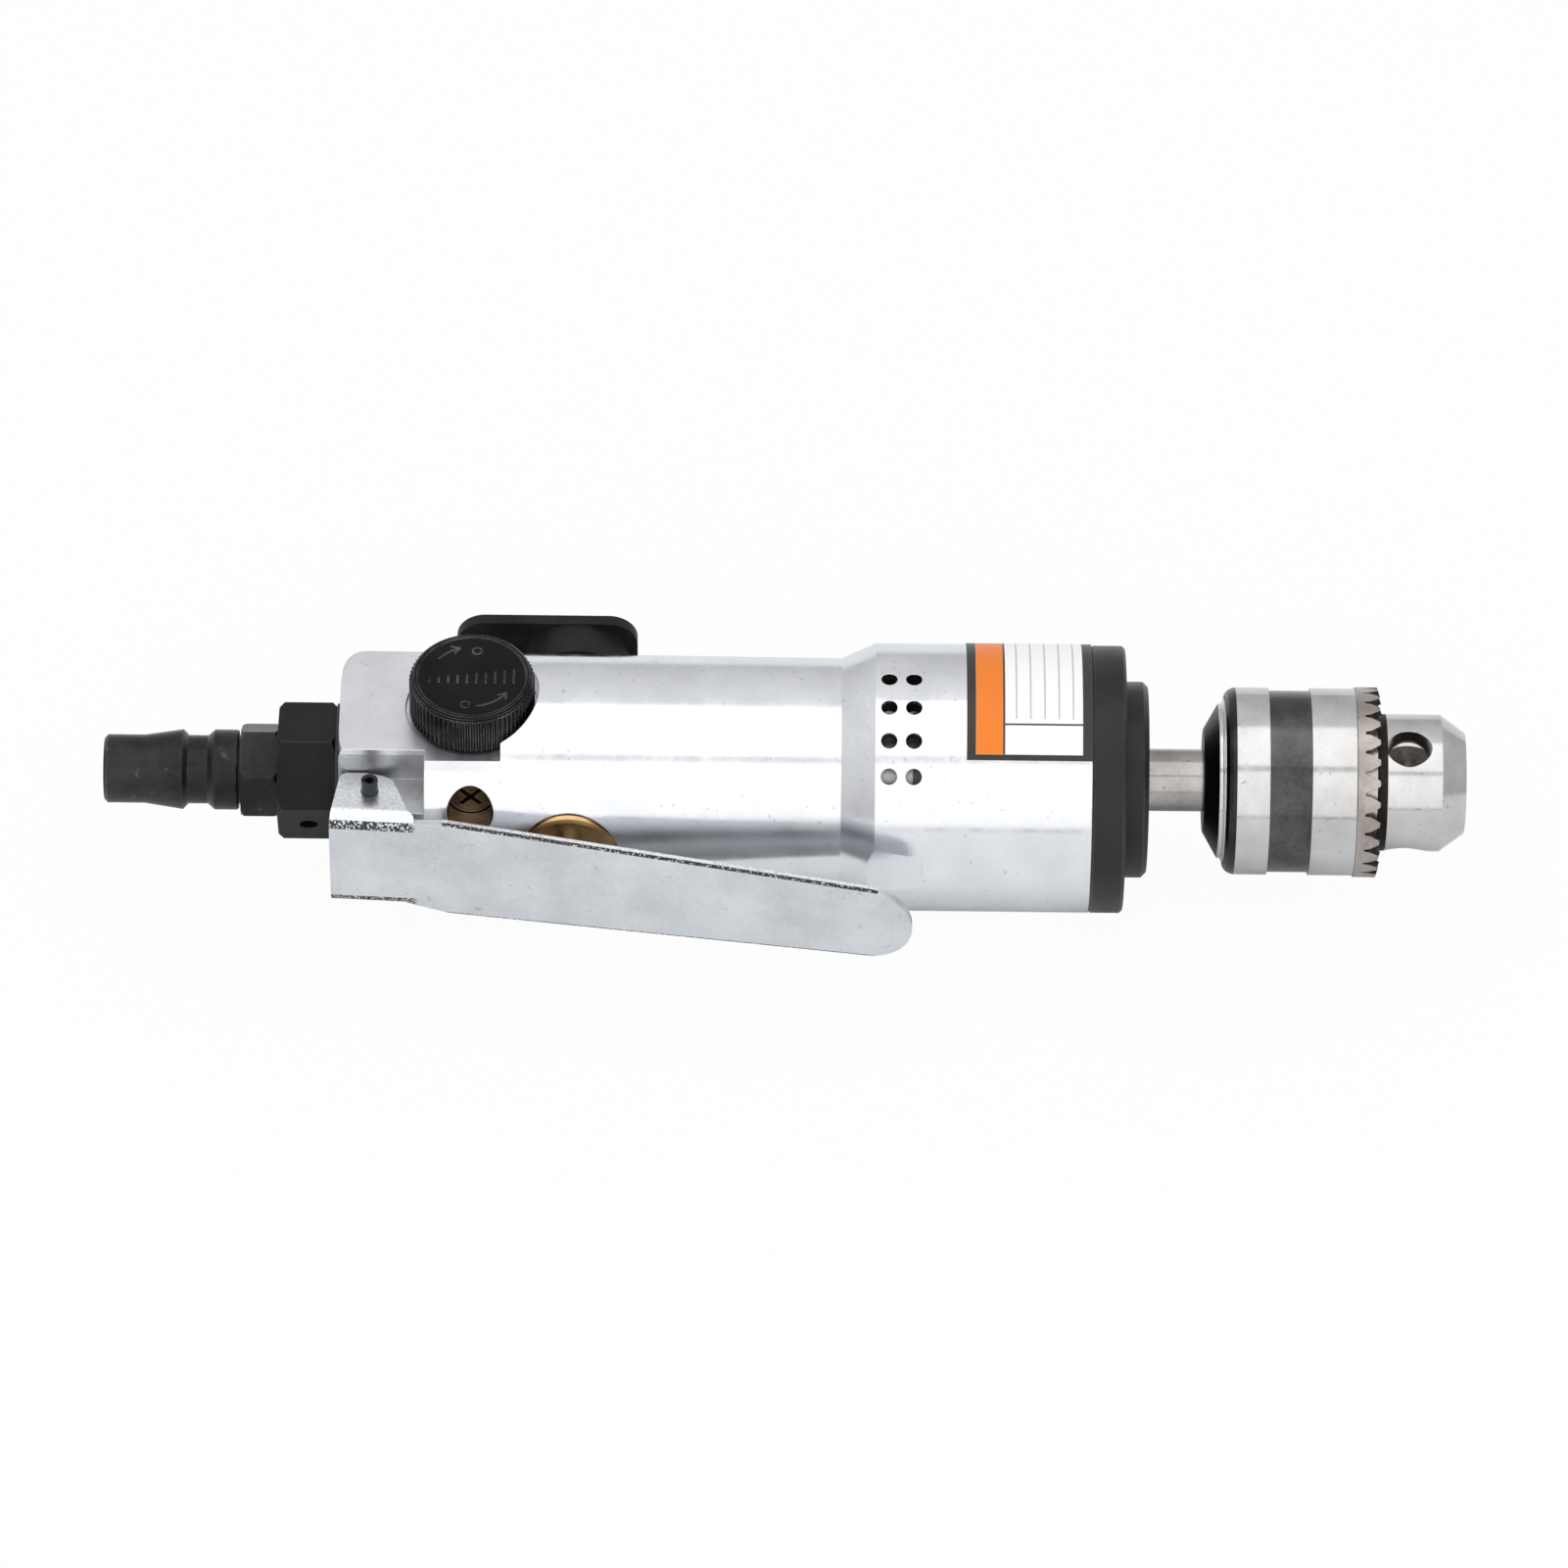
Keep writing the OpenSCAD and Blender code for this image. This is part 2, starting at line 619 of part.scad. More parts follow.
// Outline of a gear with n teeth between a root and a tip radius, with one tooth on the first axis
function gear_outline(n, root, tip, widen) =
  let(rb = gear_module * n / 2 * cos(pressure_angle), start = max(root, rb), steps = 4)
  [for (i = [0 : n - 1])
    let(mid = i * 360 / n)
    each concat(
      root < rb ? [[root * cos(mid - tooth_half(n, rb, widen)), root * sin(mid - tooth_half(n, rb, widen))]] : [],
      [for (k = [0 : steps])
        let(r = start + (tip - start) * k / steps, a = mid - tooth_half(n, r, widen)) [r * cos(a), r * sin(a)]],
      [for (k = [0 : steps])
        let(r = tip - (tip - start) * k / steps, a = mid + tooth_half(n, r, widen)) [r * cos(a), r * sin(a)]],
      root < rb ? [[root * cos(mid + tooth_half(n, rb, widen)), root * sin(mid + tooth_half(n, rb, widen))]] : [])];

// A gear along the spindle from x0 back to x1, turned so that its first tooth is at the angle
module gear(n, x0, x1, angle) {
  translate([x1, 0, 0]) rotate([90, 0, 90]) rotate([0, 0, angle]) linear_extrude(x0 - x1)
    polygon(gear_outline(n, gear_module * (n / 2 - tooth_root), gear_module * (n / 2 + tooth_top), -backlash / 2));
}

// Grooves of a ball race
module race(x, pitch_r) {
  translate([x, 0, 0]) rotate([90, 0, 90]) rotate_extrude() translate([pitch_r, 0]) circle(r = ball_r + ball_play);
}

// Outer ring of a bearing whose front is at x
module bearing_outer(x, seat_r, h) {
  color(steel) difference() {
    tube(x, x - bearing_len, seat_r + h - press_gap, seat_r + h - h / 2 + race_t);
    race(x - bearing_len / 2, seat_r + h / 2);
  }
}

// Inner ring of a bearing whose front is at x
module bearing_inner(x, seat_r, h) {
  color(steel) difference() {
    tube(x, x - bearing_len, seat_r + h / 2 - race_t, seat_r + press_gap);
    race(x - bearing_len / 2, seat_r + h / 2);
  }
}

// Balls of a bearing joined by their cage
module ball_cage(x, pitch_r, count) {
  color(bright_steel) {
    tube(x - bearing_len / 2 + ball_r, x - bearing_len / 2 - ball_r, pitch_r + cage_t / 2, pitch_r - cage_t / 2);
    for (i = [0 : count - 1])
      rotate([i * 360 / count, 0, 0]) translate([x - bearing_len / 2, pitch_r, 0]) rotate([0, 90, 0])
        sphere(r = ball_r, $fn = 24);
  }
}

// Outside of the housing: a barrel, a taper and a slender grip with a round rear edge
module housing_blank() {
  turned([[0, x_front], [barrel_r - 0.3, x_front], [barrel_r, x_front - 0.3], [barrel_r, x_front - barrel_len],
    [grip_front_r, x_front - barrel_len - taper_len], [grip_rear_r, x_rear + rear_round_r],
    for (a = [15 : 15 : 90])
      [grip_rear_r - rear_round_r * (1 - cos(a)), x_rear + rear_round_r * (1 - sin(a))],
    [0, x_rear]]);
}

// Space that the lever needs, at rest behind its pivot and pressed in front of it, open away from the housing
module lever_relief() {
  clearance = lever_t + free_gap;
  heel_rise = (x_pivot - x_heel + over) * tan(press_angle);
  translate([x_pivot, -pivot_y, 0]) rotate([0, 0, press_angle]) translate([-x_pivot, pivot_y, -lever_half_w - over])
    linear_extrude(2 * (lever_half_w + over))
      polygon([[x_heel - over, heel_y(x_heel - over) + clearance + heel_rise], [x_pivot, heel_y(x_pivot) + clearance],
        [x_bend, bend_y + blade_in_y + free_gap], [x_tip, blade_y(x_tip) + blade_in_y + free_gap],
        [x_tip, blade_y(x_tip) - 20], [x_heel - over, blade_y(x_tip) - 20]]);
}

// Ducts from the air inlet past the two valves to the motor
module air_ducts() {
  drill_x(x_rear + inlet_thread_len + over, x_rear - over, 0, 0, plug_bore_r);
  drill_x(x_throttle, x_rear + inlet_thread_len - over, 0, 0, duct_r);
  drill_x(link_x, x_throttle, -bush_port_y, 0, passage_r);
  bar_y(link_x, 0, -bush_port_y - passage_r, spool_bush_y + passage_r + 0.5, passage_r);
  drill_x(link_x, x_reverse, spool_bush_y + 2, 0, passage_r);
  for (side = [-1, 1])
    drill_x(x_floor + over, x_reverse + spool_r, reverse_port_y, side * reverse_port_z, passage_r);
}

module housing() {
  color(aluminium) difference() {
    housing_blank();
    bar(x_front + over, x_front - case_bore_len, case_bore_r);
    bar(x_front, x_floor, cylinder_r + press_gap);
    translate([x_rear - over, -2 * barrel_r, top_flat_z]) cube([top_flat_len + over, 4 * barrel_r, barrel_r]);
    translate([x_regulator, 0, spotface_z]) cylinder(r = spotface_r, h = barrel_r);
    for (side = [0, 1]) mirror([0, 0, side])
      translate([x_rear - over, -2 * barrel_r, notch_floor_z])
        cube([notch_len + over, 2 * barrel_r - notch_wall_y, barrel_r]);
    lever_relief();
    bar(x_rear + inlet_thread_len, x_rear - over, inlet_thread_r);
    air_ducts();
    translate([x_pivot, -pivot_y, -barrel_r]) cylinder(r = roll_pin_r + press_gap, h = 2 * barrel_r);
    translate([x_regulator, 0, -stem_down - 0.4]) cylinder(r = stem_bore_r, h = stem_down + barrel_r);
    bar_y(x_regulator, stem_screw_z, -barrel_r, -screw_seat_y, stem_screw_hole_r);
    bar_y(x_regulator, stem_screw_z, -barrel_r, 0, screw_shank_r + press_gap);
    bar_y(x_throttle, 0, -barrel_r - over, -bush_face_y + bush_head_len, bush_recess_r);
    bar_y(x_throttle, 0, -barrel_r, chamber_end_y, bush_r + press_gap);
    bar_y(x_reverse, 0, chamber_end_y - over, barrel_r, duct_r / 2);
    bar_y(x_reverse, 0, spool_bore_y, barrel_r, spool_bush_r + press_gap);
    bar_y(x_reverse, 0, reverse_face_y, barrel_r + over, hub_r + 0.8);
    drill_x(x_floor + over, x_floor - 3.5, 0, dowel_z, dowel_r + press_gap);
    for (column = [0, 1], row = [0 : exhaust_rows - 1])
      rotate([exhaust_angle + row * exhaust_step, 0, 0])
        bar_y(x_front - exhaust_back - column * exhaust_pitch, 0, case_bore_r - over, barrel_r + over, exhaust_hole_r);
  }
}

module inlet_washer() {
  color(rubber) tube(x_rear, x_bushing, inlet_hex_r - 0.2, inlet_thread_r + press_gap);
}

module inlet_bushing() {
  color(black_steel) difference() {
    union() {
      hexagon(x_bushing, x_plug, inlet_hex_r, inlet_hex_angle, 0.9);
      bar(x_bushing_in, x_bushing - over, inlet_thread_r - press_gap);
    }
    bar(x_bushing_in + over, x_plug - over, plug_bore_r);
    bar(x_plug + plug_thread_len, x_plug - over, plug_thread_r);
    bar(x_bushing_in + over, x_bushing_in - screen_len, screen_r + press_gap);
    rotate([inlet_hex_angle + 150, 0, 0])
      bar_y(x_bushing - inlet_hex_len / 2 + 0.4, 0, inlet_hex_r - 3.5, inlet_hex_r + over, tommy_hole_r);
  }
}

module inlet_screen() {
  color(steel) difference() {
    bar(x_bushing_in, x_bushing_in - screen_len, screen_r);
    bar(x_bushing_in + over, x_bushing_in - screen_len - over, screen_hole_r);
    for (ring = [1, 2], i = [0 : 6 * ring - 1]) rotate([i * 60 / ring, 0, 0])
      drill_x(x_bushing_in + over, x_bushing_in - screen_len - over, ring * screen_pitch, 0, screen_hole_r);
  }
}

module air_plug() {
  color(black_steel) difference() {
    union() {
      hexagon(x_plug, x_plug_hex_end, plug_hex_r, plug_hex_angle, 0.7);
      turned([[0, x_plug + plug_thread_len - screen_inset], [plug_thread_r - press_gap, x_plug + plug_thread_len - screen_inset],
        [plug_thread_r - press_gap, x_plug - over], [plug_nozzle_r, x_plug - over], [plug_nozzle_r, x_collar_1],
        [plug_collar_r - 0.2, x_collar_1], [plug_collar_r, x_collar_1 - 0.3], [plug_collar_r, x_groove_1],
        [plug_nozzle_r, x_groove_2], [plug_nozzle_r, x_groove_3], [plug_collar_r, x_groove_4],
        [plug_nozzle_r, x_nozzle_cone], [plug_nozzle_r, x_plug_end + 0.6], [plug_nozzle_r - 0.6, x_plug_end],
        [0, x_plug_end]]);
    }
    bar(x_plug + plug_thread_len, x_plug_end - over, plug_bore_r);
    turned([[0, x_plug_end - over], [plug_bore_r + 1 + over, x_plug_end - over], [plug_bore_r, x_plug_end + 1],
      [0, x_plug_end + 1]]);
  }
}

module front_cap() {
  color(black_steel) turned([
    [shaft_r + 0.8, x_cap], [cap_boss_r - cap_bevel, x_cap], [cap_boss_r, x_cap - cap_bevel],
    [cap_boss_r, x_cap_step], [barrel_r - 0.5, x_cap_step], [barrel_r, x_cap_step - 0.5], [barrel_r, x_front + 0.2],
    [barrel_r - 0.2, x_front], [case_bore_r - press_gap, x_front], [case_bore_r - press_gap, x_case],
    [seal_r, x_case], [seal_r, x_seal], [shaft_r + 0.8, x_seal]]);
}

module shaft_seal() {
  color(rubber) tube(x_seal, x_seal - seal_len, seal_r - press_gap, bearing_seat_r + running_gap);
}

module label() {
  r_out = barrel_r + press_gap + label_t;
  color([0.95, 0.93, 0.9]) intersection() {
    tube(x_front - 0.2, x_front - label_len, r_out, barrel_r + press_gap);
    translate([x_front - label_len - over, 0, 0]) rotate([90, 0, 90]) linear_extrude(label_len + 2 * over)
      polygon([[0, 0], for (i = [0 : 4]) 2 * barrel_r * [cos(label_angle - i * label_sweep / 4),
        sin(label_angle - i * label_sweep / 4)]]);
  }
}

module lever_pin() {
  half = lever_half_w + roll_pin_out;
  color(black_steel) translate([x_pivot, -pivot_y, -half]) difference() {
    cylinder(r = roll_pin_r, h = 2 * half);
    translate([0, 0, -over]) cylinder(r = roll_pin_r - roll_pin_wall, h = 2 * (half + over));
    translate([-roll_pin_r - over, -roll_pin_slot / 2, -over])
      cube([roll_pin_r + over, roll_pin_slot, 2 * (half + over)]);
  }
}

// Side view of the heel with its ears
module ear_outline() {
  polygon([[x_heel, heel_y(x_heel)], [x_bend, bend_y], [x_ear_end, blade_y(x_ear_end)],
    [x_ear_end, blade_y(x_ear_end) + blade_in_y], [x_pivot + ear_front, -pivot_y - 5],
    [x_pivot + 4, -pivot_y + 2.8], [x_pivot + 1.8, -pivot_y + 3.8], [x_pivot - 0.9, -pivot_y + ear_top],
    [x_pivot - 4.3, -pivot_y + ear_top], [x_pivot - 5.2, -pivot_y + 3.9], [x_pivot - 5.6, -pivot_y + 2.8]]);
}

// Channel section of the heel with round folds, along the heel
module heel_channel() {
  depth = 20;
  length = x_ear_end - x_heel + 4;
  translate([x_bend, bend_y, 0]) rotate([0, 0, -heel_slope]) translate([x_heel - x_bend - 2, 0, 0])
    rotate([90, 0, 90]) linear_extrude(length) difference() {
      union() {
        translate([fold_r, -lever_half_w]) square([depth, 2 * lever_half_w]);
        translate([0, fold_r - lever_half_w]) square([depth, 2 * (lever_half_w - fold_r)]);
        for (side = [-1, 1]) translate([fold_r, side * (lever_half_w - fold_r)]) circle(r = fold_r);
      }
      translate([fold_r, -ear_in]) square([depth + over, 2 * ear_in]);
      translate([lever_t, fold_r - lever_half_w]) square([depth, 2 * (lever_half_w - fold_r)]);
      for (side = [-1, 1]) translate([fold_r, side * (lever_half_w - fold_r)]) circle(r = fold_r - lever_t);
    }
}

module throttle_lever() {
  color(bright_steel) difference() {
    union() {
      intersection() {
        translate([0, 0, -lever_half_w]) linear_extrude(2 * lever_half_w) ear_outline();
        heel_channel();
      }
      intersection() {
        translate([0, 0, -lever_half_w]) linear_extrude(2 * lever_half_w)
          polygon([[x_blade, blade_y(x_blade)], [x_tip, blade_y(x_tip)], [x_tip, blade_y(x_tip) + blade_in_y],
            [x_blade, blade_y(x_blade) + blade_in_y]]);
        rotate([90, 0, 0]) translate([0, 0, -barrel_r]) linear_extrude(4 * barrel_r) {
          polygon([[x_blade, blade_root_half_w], [x_ear_end + fold_run_out, lever_half_w],
            [x_tip - lever_tip_half_w, lever_tip_half_w], [x_tip - lever_tip_half_w, -lever_tip_half_w],
            [x_ear_end + fold_run_out, -lever_half_w], [x_blade, -blade_root_half_w]]);
          translate([x_tip - lever_tip_half_w, 0]) circle(r = lever_tip_half_w);
        }
      }
    }
    translate([x_pivot, -pivot_y, -barrel_r]) cylinder(r = roll_pin_r + running_gap, h = 2 * barrel_r);
  }
}

module throttle_bush() {
  color(brass) difference() {
    turned_y(x_throttle, [[throttle_stem_r + running_gap, -bush_face_y], [bush_head_r - 1, -bush_face_y],
      [bush_head_r - 0.3, -bush_face_y + 0.3], [bush_head_r, -bush_face_y + 1],
      [bush_head_r, -bush_face_y + bush_head_len], [bush_r, -bush_face_y + bush_head_len], [bush_r, -bush_end_y],
      [seat_r, -bush_end_y], [seat_r, -bush_end_y - 1.5], [5, -bush_end_y - 1.5], [5, -bush_port_y - 2.4],
      [throttle_stem_r + running_gap, -bush_port_y - 2.4]]);
    drill_x(x_throttle + bush_r + over, x_throttle, -bush_port_y, 0, passage_r);
  }
}

module throttle_stem() {
  color(steel) turned_y(x_throttle, [[0, stem_tip_y], [throttle_stem_r - 0.6, stem_tip_y],
    [throttle_stem_r, stem_tip_y + 0.6], [throttle_stem_r, -bush_port_y - 1.4], [1.5, -bush_port_y - 0.6],
    [1.5, -disc_y + seal_t], [valve_disc_r, -disc_y + seal_t], [valve_disc_r, -disc_y + disc_t],
    [2, -disc_y + disc_t], [2, -disc_y + disc_t + 1.2], [0, -disc_y + disc_t + 1.2]]);
}

module valve_seal() {
  color(rubber) turned_y(x_throttle, [[1.5 + press_gap, -disc_y], [valve_disc_r - 0.2, -disc_y],
    [valve_disc_r - 0.2, -disc_y + seal_t], [1.5 + press_gap, -disc_y + seal_t]]);
}

// Spring of one wire whose curls climb from the valve disc to the end of the chamber
spring_r = 3.4;
spring_y0 = -disc_y + disc_t + spring_wire / 2 + press_gap;
spring_y1 = chamber_end_y - spring_wire / 2 - press_gap;
spring_steps = 8 * spring_turns;
function spring_point(i) = let(a = i * 45)
  [x_throttle + spring_r * cos(a), spring_y0 + (spring_y1 - spring_y0) * i / spring_steps, spring_r * sin(a)];
function spring_out(i) = [cos(i * 45), 0, sin(i * 45)];
function spring_ring(i) = [for (k = [0 : 5]) spring_point(i)
  + spring_wire / 2 * (cos(60 * k) * spring_out(i) + sin(60 * k) * [0, 1, 0])];
spring_curl_gap = norm(spring_point(8) - spring_point(0)) - spring_wire;
module throttle_spring() {
  echo(least_gap_between_spring_curls = spring_curl_gap);
  last = 6 * spring_steps;
  color(steel) polyhedron(
    points = [for (i = [0 : spring_steps]) each spring_ring(i)],
    faces = concat(
      [for (k = [1 : 4]) [0, k, k + 1]],
      [for (k = [1 : 4]) [last, last + k + 1, last + k]],
      [for (i = [0 : spring_steps - 1], k = [0 : 5]) [6 * i + k, 6 * i + 6 + k, 6 * i + (k + 1) % 6]],
      [for (i = [0 : spring_steps - 1], k = [0 : 5])
        [6 * i + (k + 1) % 6, 6 * i + 6 + k, 6 * i + 6 + (k + 1) % 6]]));
}

module regulator_knob() {
  color(black_steel) difference() {
    union() {
      translate([x_regulator, 0, knob_z]) linear_extrude(knob_h - knob_rim_h)
        polygon([for (i = [0 : 2 * knurl_count - 1])
          (knob_r - (i % 2) * knurl_depth) * [cos(i * 180 / knurl_count), sin(i * 180 / knurl_count)]]);
      translate([x_regulator, 0, 0]) rotate_extrude() polygon([[0, knob_z + over], [knob_rim_r, knob_z + over],
        [knob_rim_r, knob_top_z - 0.4], [knob_rim_r - 0.4, knob_top_z], [knob_rim_r - 0.9, knob_top_z],
        [knob_rim_r - 1.1, knob_top_z - 0.2], [0, knob_top_z - 0.2]]);
    }
    translate([x_regulator, 0, knob_z - over]) cylinder(r = stem_neck_r + press_gap, h = 5 + over);
  }
}

module regulator_stem() {
  color(brass) difference() {
    translate([x_regulator, 0, 0]) rotate_extrude() polygon([[0, -stem_down], [stem_r, -stem_down],
      [stem_r, -9.6], [stem_r - 1.9, -9.6], [stem_r - 1.9, -7.6], [stem_r, -7.6],
      [stem_r, stem_screw_z - 1.6], [stem_r - 1.5, stem_screw_z - 1.6], [stem_r - 1.5, stem_screw_z + 1.6],
      [stem_r, stem_screw_z + 1.6], [stem_r, spotface_z - 3.4], [stem_r - 1.9, spotface_z - 3.4],
      [stem_r - 1.9, spotface_z - 1.4], [stem_r, spotface_z - 1.4], [stem_r, knob_z], [stem_neck_r, knob_z],
      [stem_neck_r, knob_z + 4.9], [0, knob_z + 4.9]]);
    drill_x(x_regulator + 2 * stem_r, x_regulator - 2 * stem_r, 0, 0, duct_r - 0.5);
  }
}

module regulator_o_rings() {
  color(rubber) for (z = [-8.6, spotface_z - 2.4])
    translate([x_regulator, 0, z]) rotate_extrude() translate([stem_r - 0.95, 0]) circle(r = 0.93);
}

module regulator_screw() {
  color(bronze) difference() {
    union() {
      bar_y(x_regulator, stem_screw_z, -screw_head_y, -screw_seat_y, stem_screw_head_r);
      bar_y(x_regulator, stem_screw_z, -screw_seat_y - over, -stem_r - 1, screw_shank_r);
      bar_y(x_regulator, stem_screw_z, -stem_r - 2, -stem_r + 0.9, screw_tip_r);
    }
    for (turn = [0, 90])
      translate([x_regulator, -screw_head_y, stem_screw_z]) rotate([0, 45 + turn, 0])
        cube([5.2, 3.2, 0.9], center = true);
  }
}

// Plate of the reversing lever, with round corners
module plate_outline() {
  inner = plate_corner_r;
  translate([-plate_rear_len + inner, -plate_half_w])
    square([plate_rear_len + plate_front_len - 2 * inner, 2 * plate_half_w]);
  translate([-plate_rear_len, -plate_half_w + inner])
    square([plate_rear_len + plate_front_len, 2 * (plate_half_w - inner)]);
  for (x = [-plate_rear_len + inner, plate_front_len - inner], z = [-1, 1])
    translate([x, z * (plate_half_w - inner)]) circle(r = inner);
}

module reverse_lever() {
  color([0.2, 0.2, 0.2]) difference() {
    union() {
      translate([x_reverse, plate_y + plate_t, 0]) rotate([90, 0, 0]) linear_extrude(plate_t) plate_outline();
      bar_y(x_reverse, 0, hub_y, plate_y + 0.1, hub_r);
    }
    bar_y(x_reverse, 0, hub_y - over, hub_y + 3, spool_r + press_gap);
    bar_y(x_reverse, 0, hub_y, plate_y + plate_t + over, screw_shank_r + press_gap);
    bar_y(x_reverse, 0, plate_y + 0.4, plate_y + plate_t + over, plate_screw_r + 0.2);
  }
}

module reverse_spool() {
  color(steel) difference() {
    turned_y(x_reverse, [[0, spool_bore_y + 0.4], [spool_r - 1.2, spool_bore_y + 0.4],
      [spool_r - 1.2, spool_bush_y - 0.1], [spool_r, spool_bush_y - 0.1], [spool_r, spool_bush_y + 0.4],
      [spool_r - 1.6, spool_bush_y + 0.9], [spool_r - 1.6, reverse_port_y + passage_r], [spool_r, reverse_port_y + 2],
      [spool_r, hub_y + 2.9], [0, hub_y + 2.9]]);
    bar_y(x_reverse, 0, hub_y - 7, hub_y + 3, screw_shank_r + press_gap);
  }
}

module reverse_screw() {
  color(black_steel) difference() {
    union() {
      turned_y(x_reverse, [[0, plate_y + 0.5], [plate_screw_r, plate_y + 0.5], [plate_screw_r, plate_y + plate_t - 0.5],
        [plate_screw_r - 0.7, plate_y + plate_t - 0.1], [0, plate_y + plate_t - 0.1]]);
      bar_y(x_reverse, 0, hub_y - 6.5, plate_y + 0.6, screw_shank_r);
    }
    for (turn = [0, 90])
      translate([x_reverse, plate_y + plate_t, 0]) rotate([0, turn, 0]) cube([4.6, 2, 0.9], center = true);
  }
}

module reverse_bush() {
  color(brass) difference() {
    turned_y(x_reverse, [[spool_r + running_gap, spool_bush_y], [spool_bush_r, spool_bush_y],
      [spool_bush_r, reverse_face_y], [spool_r + running_gap, reverse_face_y]]);
    drill_x(x_reverse + spool_bush_r + over, x_reverse, spool_bush_y + 2, 0, passage_r);
    for (side = [-1, 1])
      drill_x(x_reverse + spool_bush_r + over, x_reverse, reverse_port_y, side * reverse_port_z, passage_r);
  }
}

module spool_clip() {
  color(steel) turned_y(x_reverse, [[spool_r - 1.2 + press_gap, spool_bore_y + 0.5], [spool_r + 0.8, spool_bore_y + 0.5],
    [spool_r + 0.8, spool_bush_y - 0.12], [spool_r - 1.2 + press_gap, spool_bush_y - 0.12]]);
}

// Holes that line up through the gasket and the rear end plate
module rear_holes(x0, x1) {
  for (side = [-1, 1]) drill_x(x0, x1, reverse_port_y, side * reverse_port_z, passage_r);
  drill_x(x0, x1, 0, dowel_z, dowel_r + press_gap);
}

module rear_gasket() {
  color([0.45, 0.38, 0.3]) difference() {
    tube(x_gasket, x_floor, cylinder_r - press_gap, rotor_bearing_r - 1);
    rear_holes(x_gasket + over, x_floor - over);
  }
}

module rear_end_plate() {
  color(cast_iron) difference() {
    bar(x_cylinder_end, x_gasket, cylinder_r - press_gap);
    bar(x_gasket + bearing_len, x_gasket - over, rotor_bearing_r);
    bar(x_cylinder_end + over, x_gasket - over, rotor_shaft_r + 1);
    rear_holes(x_cylinder_end + over, x_gasket - over);
  }
}

module motor_cylinder() {
  color(steel) difference() {
    bar(x_cylinder, x_cylinder_end, cylinder_r);
    translate([0, 0, -cylinder_offset]) bar(x_cylinder + over, x_cylinder_end - over, cylinder_bore_r);
    drill_x(x_cylinder + over, x_cylinder_end - over, 0, dowel_z, dowel_r + press_gap);
    for (angle = [-120, -90, -60])
      rotate([angle, 0, 0]) bar_y(x_cylinder - 3.5, 0, rotor_r - over, cylinder_r + over, 2);
  }
}

module front_end_plate() {
  color(cast_iron) difference() {
    union() {
      bar(x_plate, x_plate - front_flange_len, case_bore_r - press_gap);
      bar(x_plate - 1, x_cylinder, cylinder_r - press_gap);
    }
    bar(x_plate + over, x_rotor_front_bearing, rotor_bearing_r);
    bar(x_plate + over, x_cylinder - over, rotor_shaft_r + 1);
    drill_x(x_cylinder + 4.2, x_cylinder - over, 0, dowel_z, dowel_r + press_gap);
  }
}

module motor_dowel() {
  color(steel) drill_x(x_cylinder + 4, x_floor - 3.3, 0, dowel_z, dowel_r);
}

module rotor() {
  color(steel) difference() {
    turned([[0, x_slot_front - 0.6], [stub_r, x_slot_front - 0.6], [stub_r, x_plate + 0.1], [rotor_shaft_r, x_plate + 0.1],
      [rotor_shaft_r, x_cylinder - 0.1], [rotor_shaft_r + 0.7, x_cylinder - 0.1], [rotor_shaft_r + 0.7, x_cylinder - 0.4],
      [rotor_r, x_cylinder - 0.4], [rotor_r, x_cylinder_end + 0.4], [rotor_shaft_r + 0.7, x_cylinder_end + 0.4],
      [rotor_shaft_r + 0.7, x_gasket + bearing_len + 0.1], [rotor_shaft_r, x_gasket + bearing_len + 0.1],
      [rotor_shaft_r, x_gasket + 0.3], [0, x_gasket + 0.3]]);
    for (i = [0 : vane_count - 1]) rotate([i * 360 / vane_count, 0, 0])
      translate([x_cylinder_end, vane_in_r - 0.2, -vane_t / 2 - 0.05]) cube([cylinder_len, rotor_r, vane_t + 0.1]);
  }
}

module rotor_vanes() {
  vane_tip_r = cylinder_bore_r - cylinder_offset - free_gap;
  color([0.5, 0.32, 0.2]) for (i = [0 : vane_count - 1]) rotate([i * 360 / vane_count, 0, 0])
    translate([x_cylinder_end + vane_play, vane_in_r, -vane_t / 2])
      cube([cylinder_len - 2 * vane_play, vane_tip_r - vane_in_r, vane_t]);
}

module rotor_bearing_rear_outer() {
  bearing_outer(x_gasket + bearing_len, rotor_shaft_r, rotor_bearing_h);
}

module rotor_bearing_rear_inner() {
  bearing_inner(x_gasket + bearing_len, rotor_shaft_r, rotor_bearing_h);
}

module rotor_bearing_front_outer() {
  bearing_outer(x_plate, rotor_shaft_r, rotor_bearing_h);
}

module rotor_bearing_front_inner() {
  bearing_inner(x_plate, rotor_shaft_r, rotor_bearing_h);
}

module rotor_bearing_balls() {
  for (x = [x_plate, x_gasket + bearing_len]) ball_cage(x, rotor_pitch_r, rotor_ball_count);
}

module sun_gear() {
  color(steel) difference() {
    gear(sun_teeth, x_slot_front - 0.4, x_carrier_rear, 90);
    bar(x_slot_front, x_plate, stub_r + press_gap);
  }
}

// Planet gear number i, with a gap between its teeth towards the sun
module planet_gear(i) {
  angle = 90 + i * 360 / planet_count;
  color(steel) translate([0, planet_orbit_r * cos(angle), planet_orbit_r * sin(angle)]) difference() {
    gear(planet_teeth, x_slot_front - planet_play, x_slot_rear + planet_play, angle + 180 + 180 / planet_teeth);
    bar(x_slot_front, x_slot_rear, planet_pin_r + running_gap);
  }
}

module planet_pins() {
  color(bright_steel) for (i = [0 : planet_count - 1]) rotate([90 + i * 360 / planet_count, 0, 0])
    drill_x(x_slot_front + 1.5, x_carrier_rear + 0.2, planet_orbit_r, 0, planet_pin_r);
}

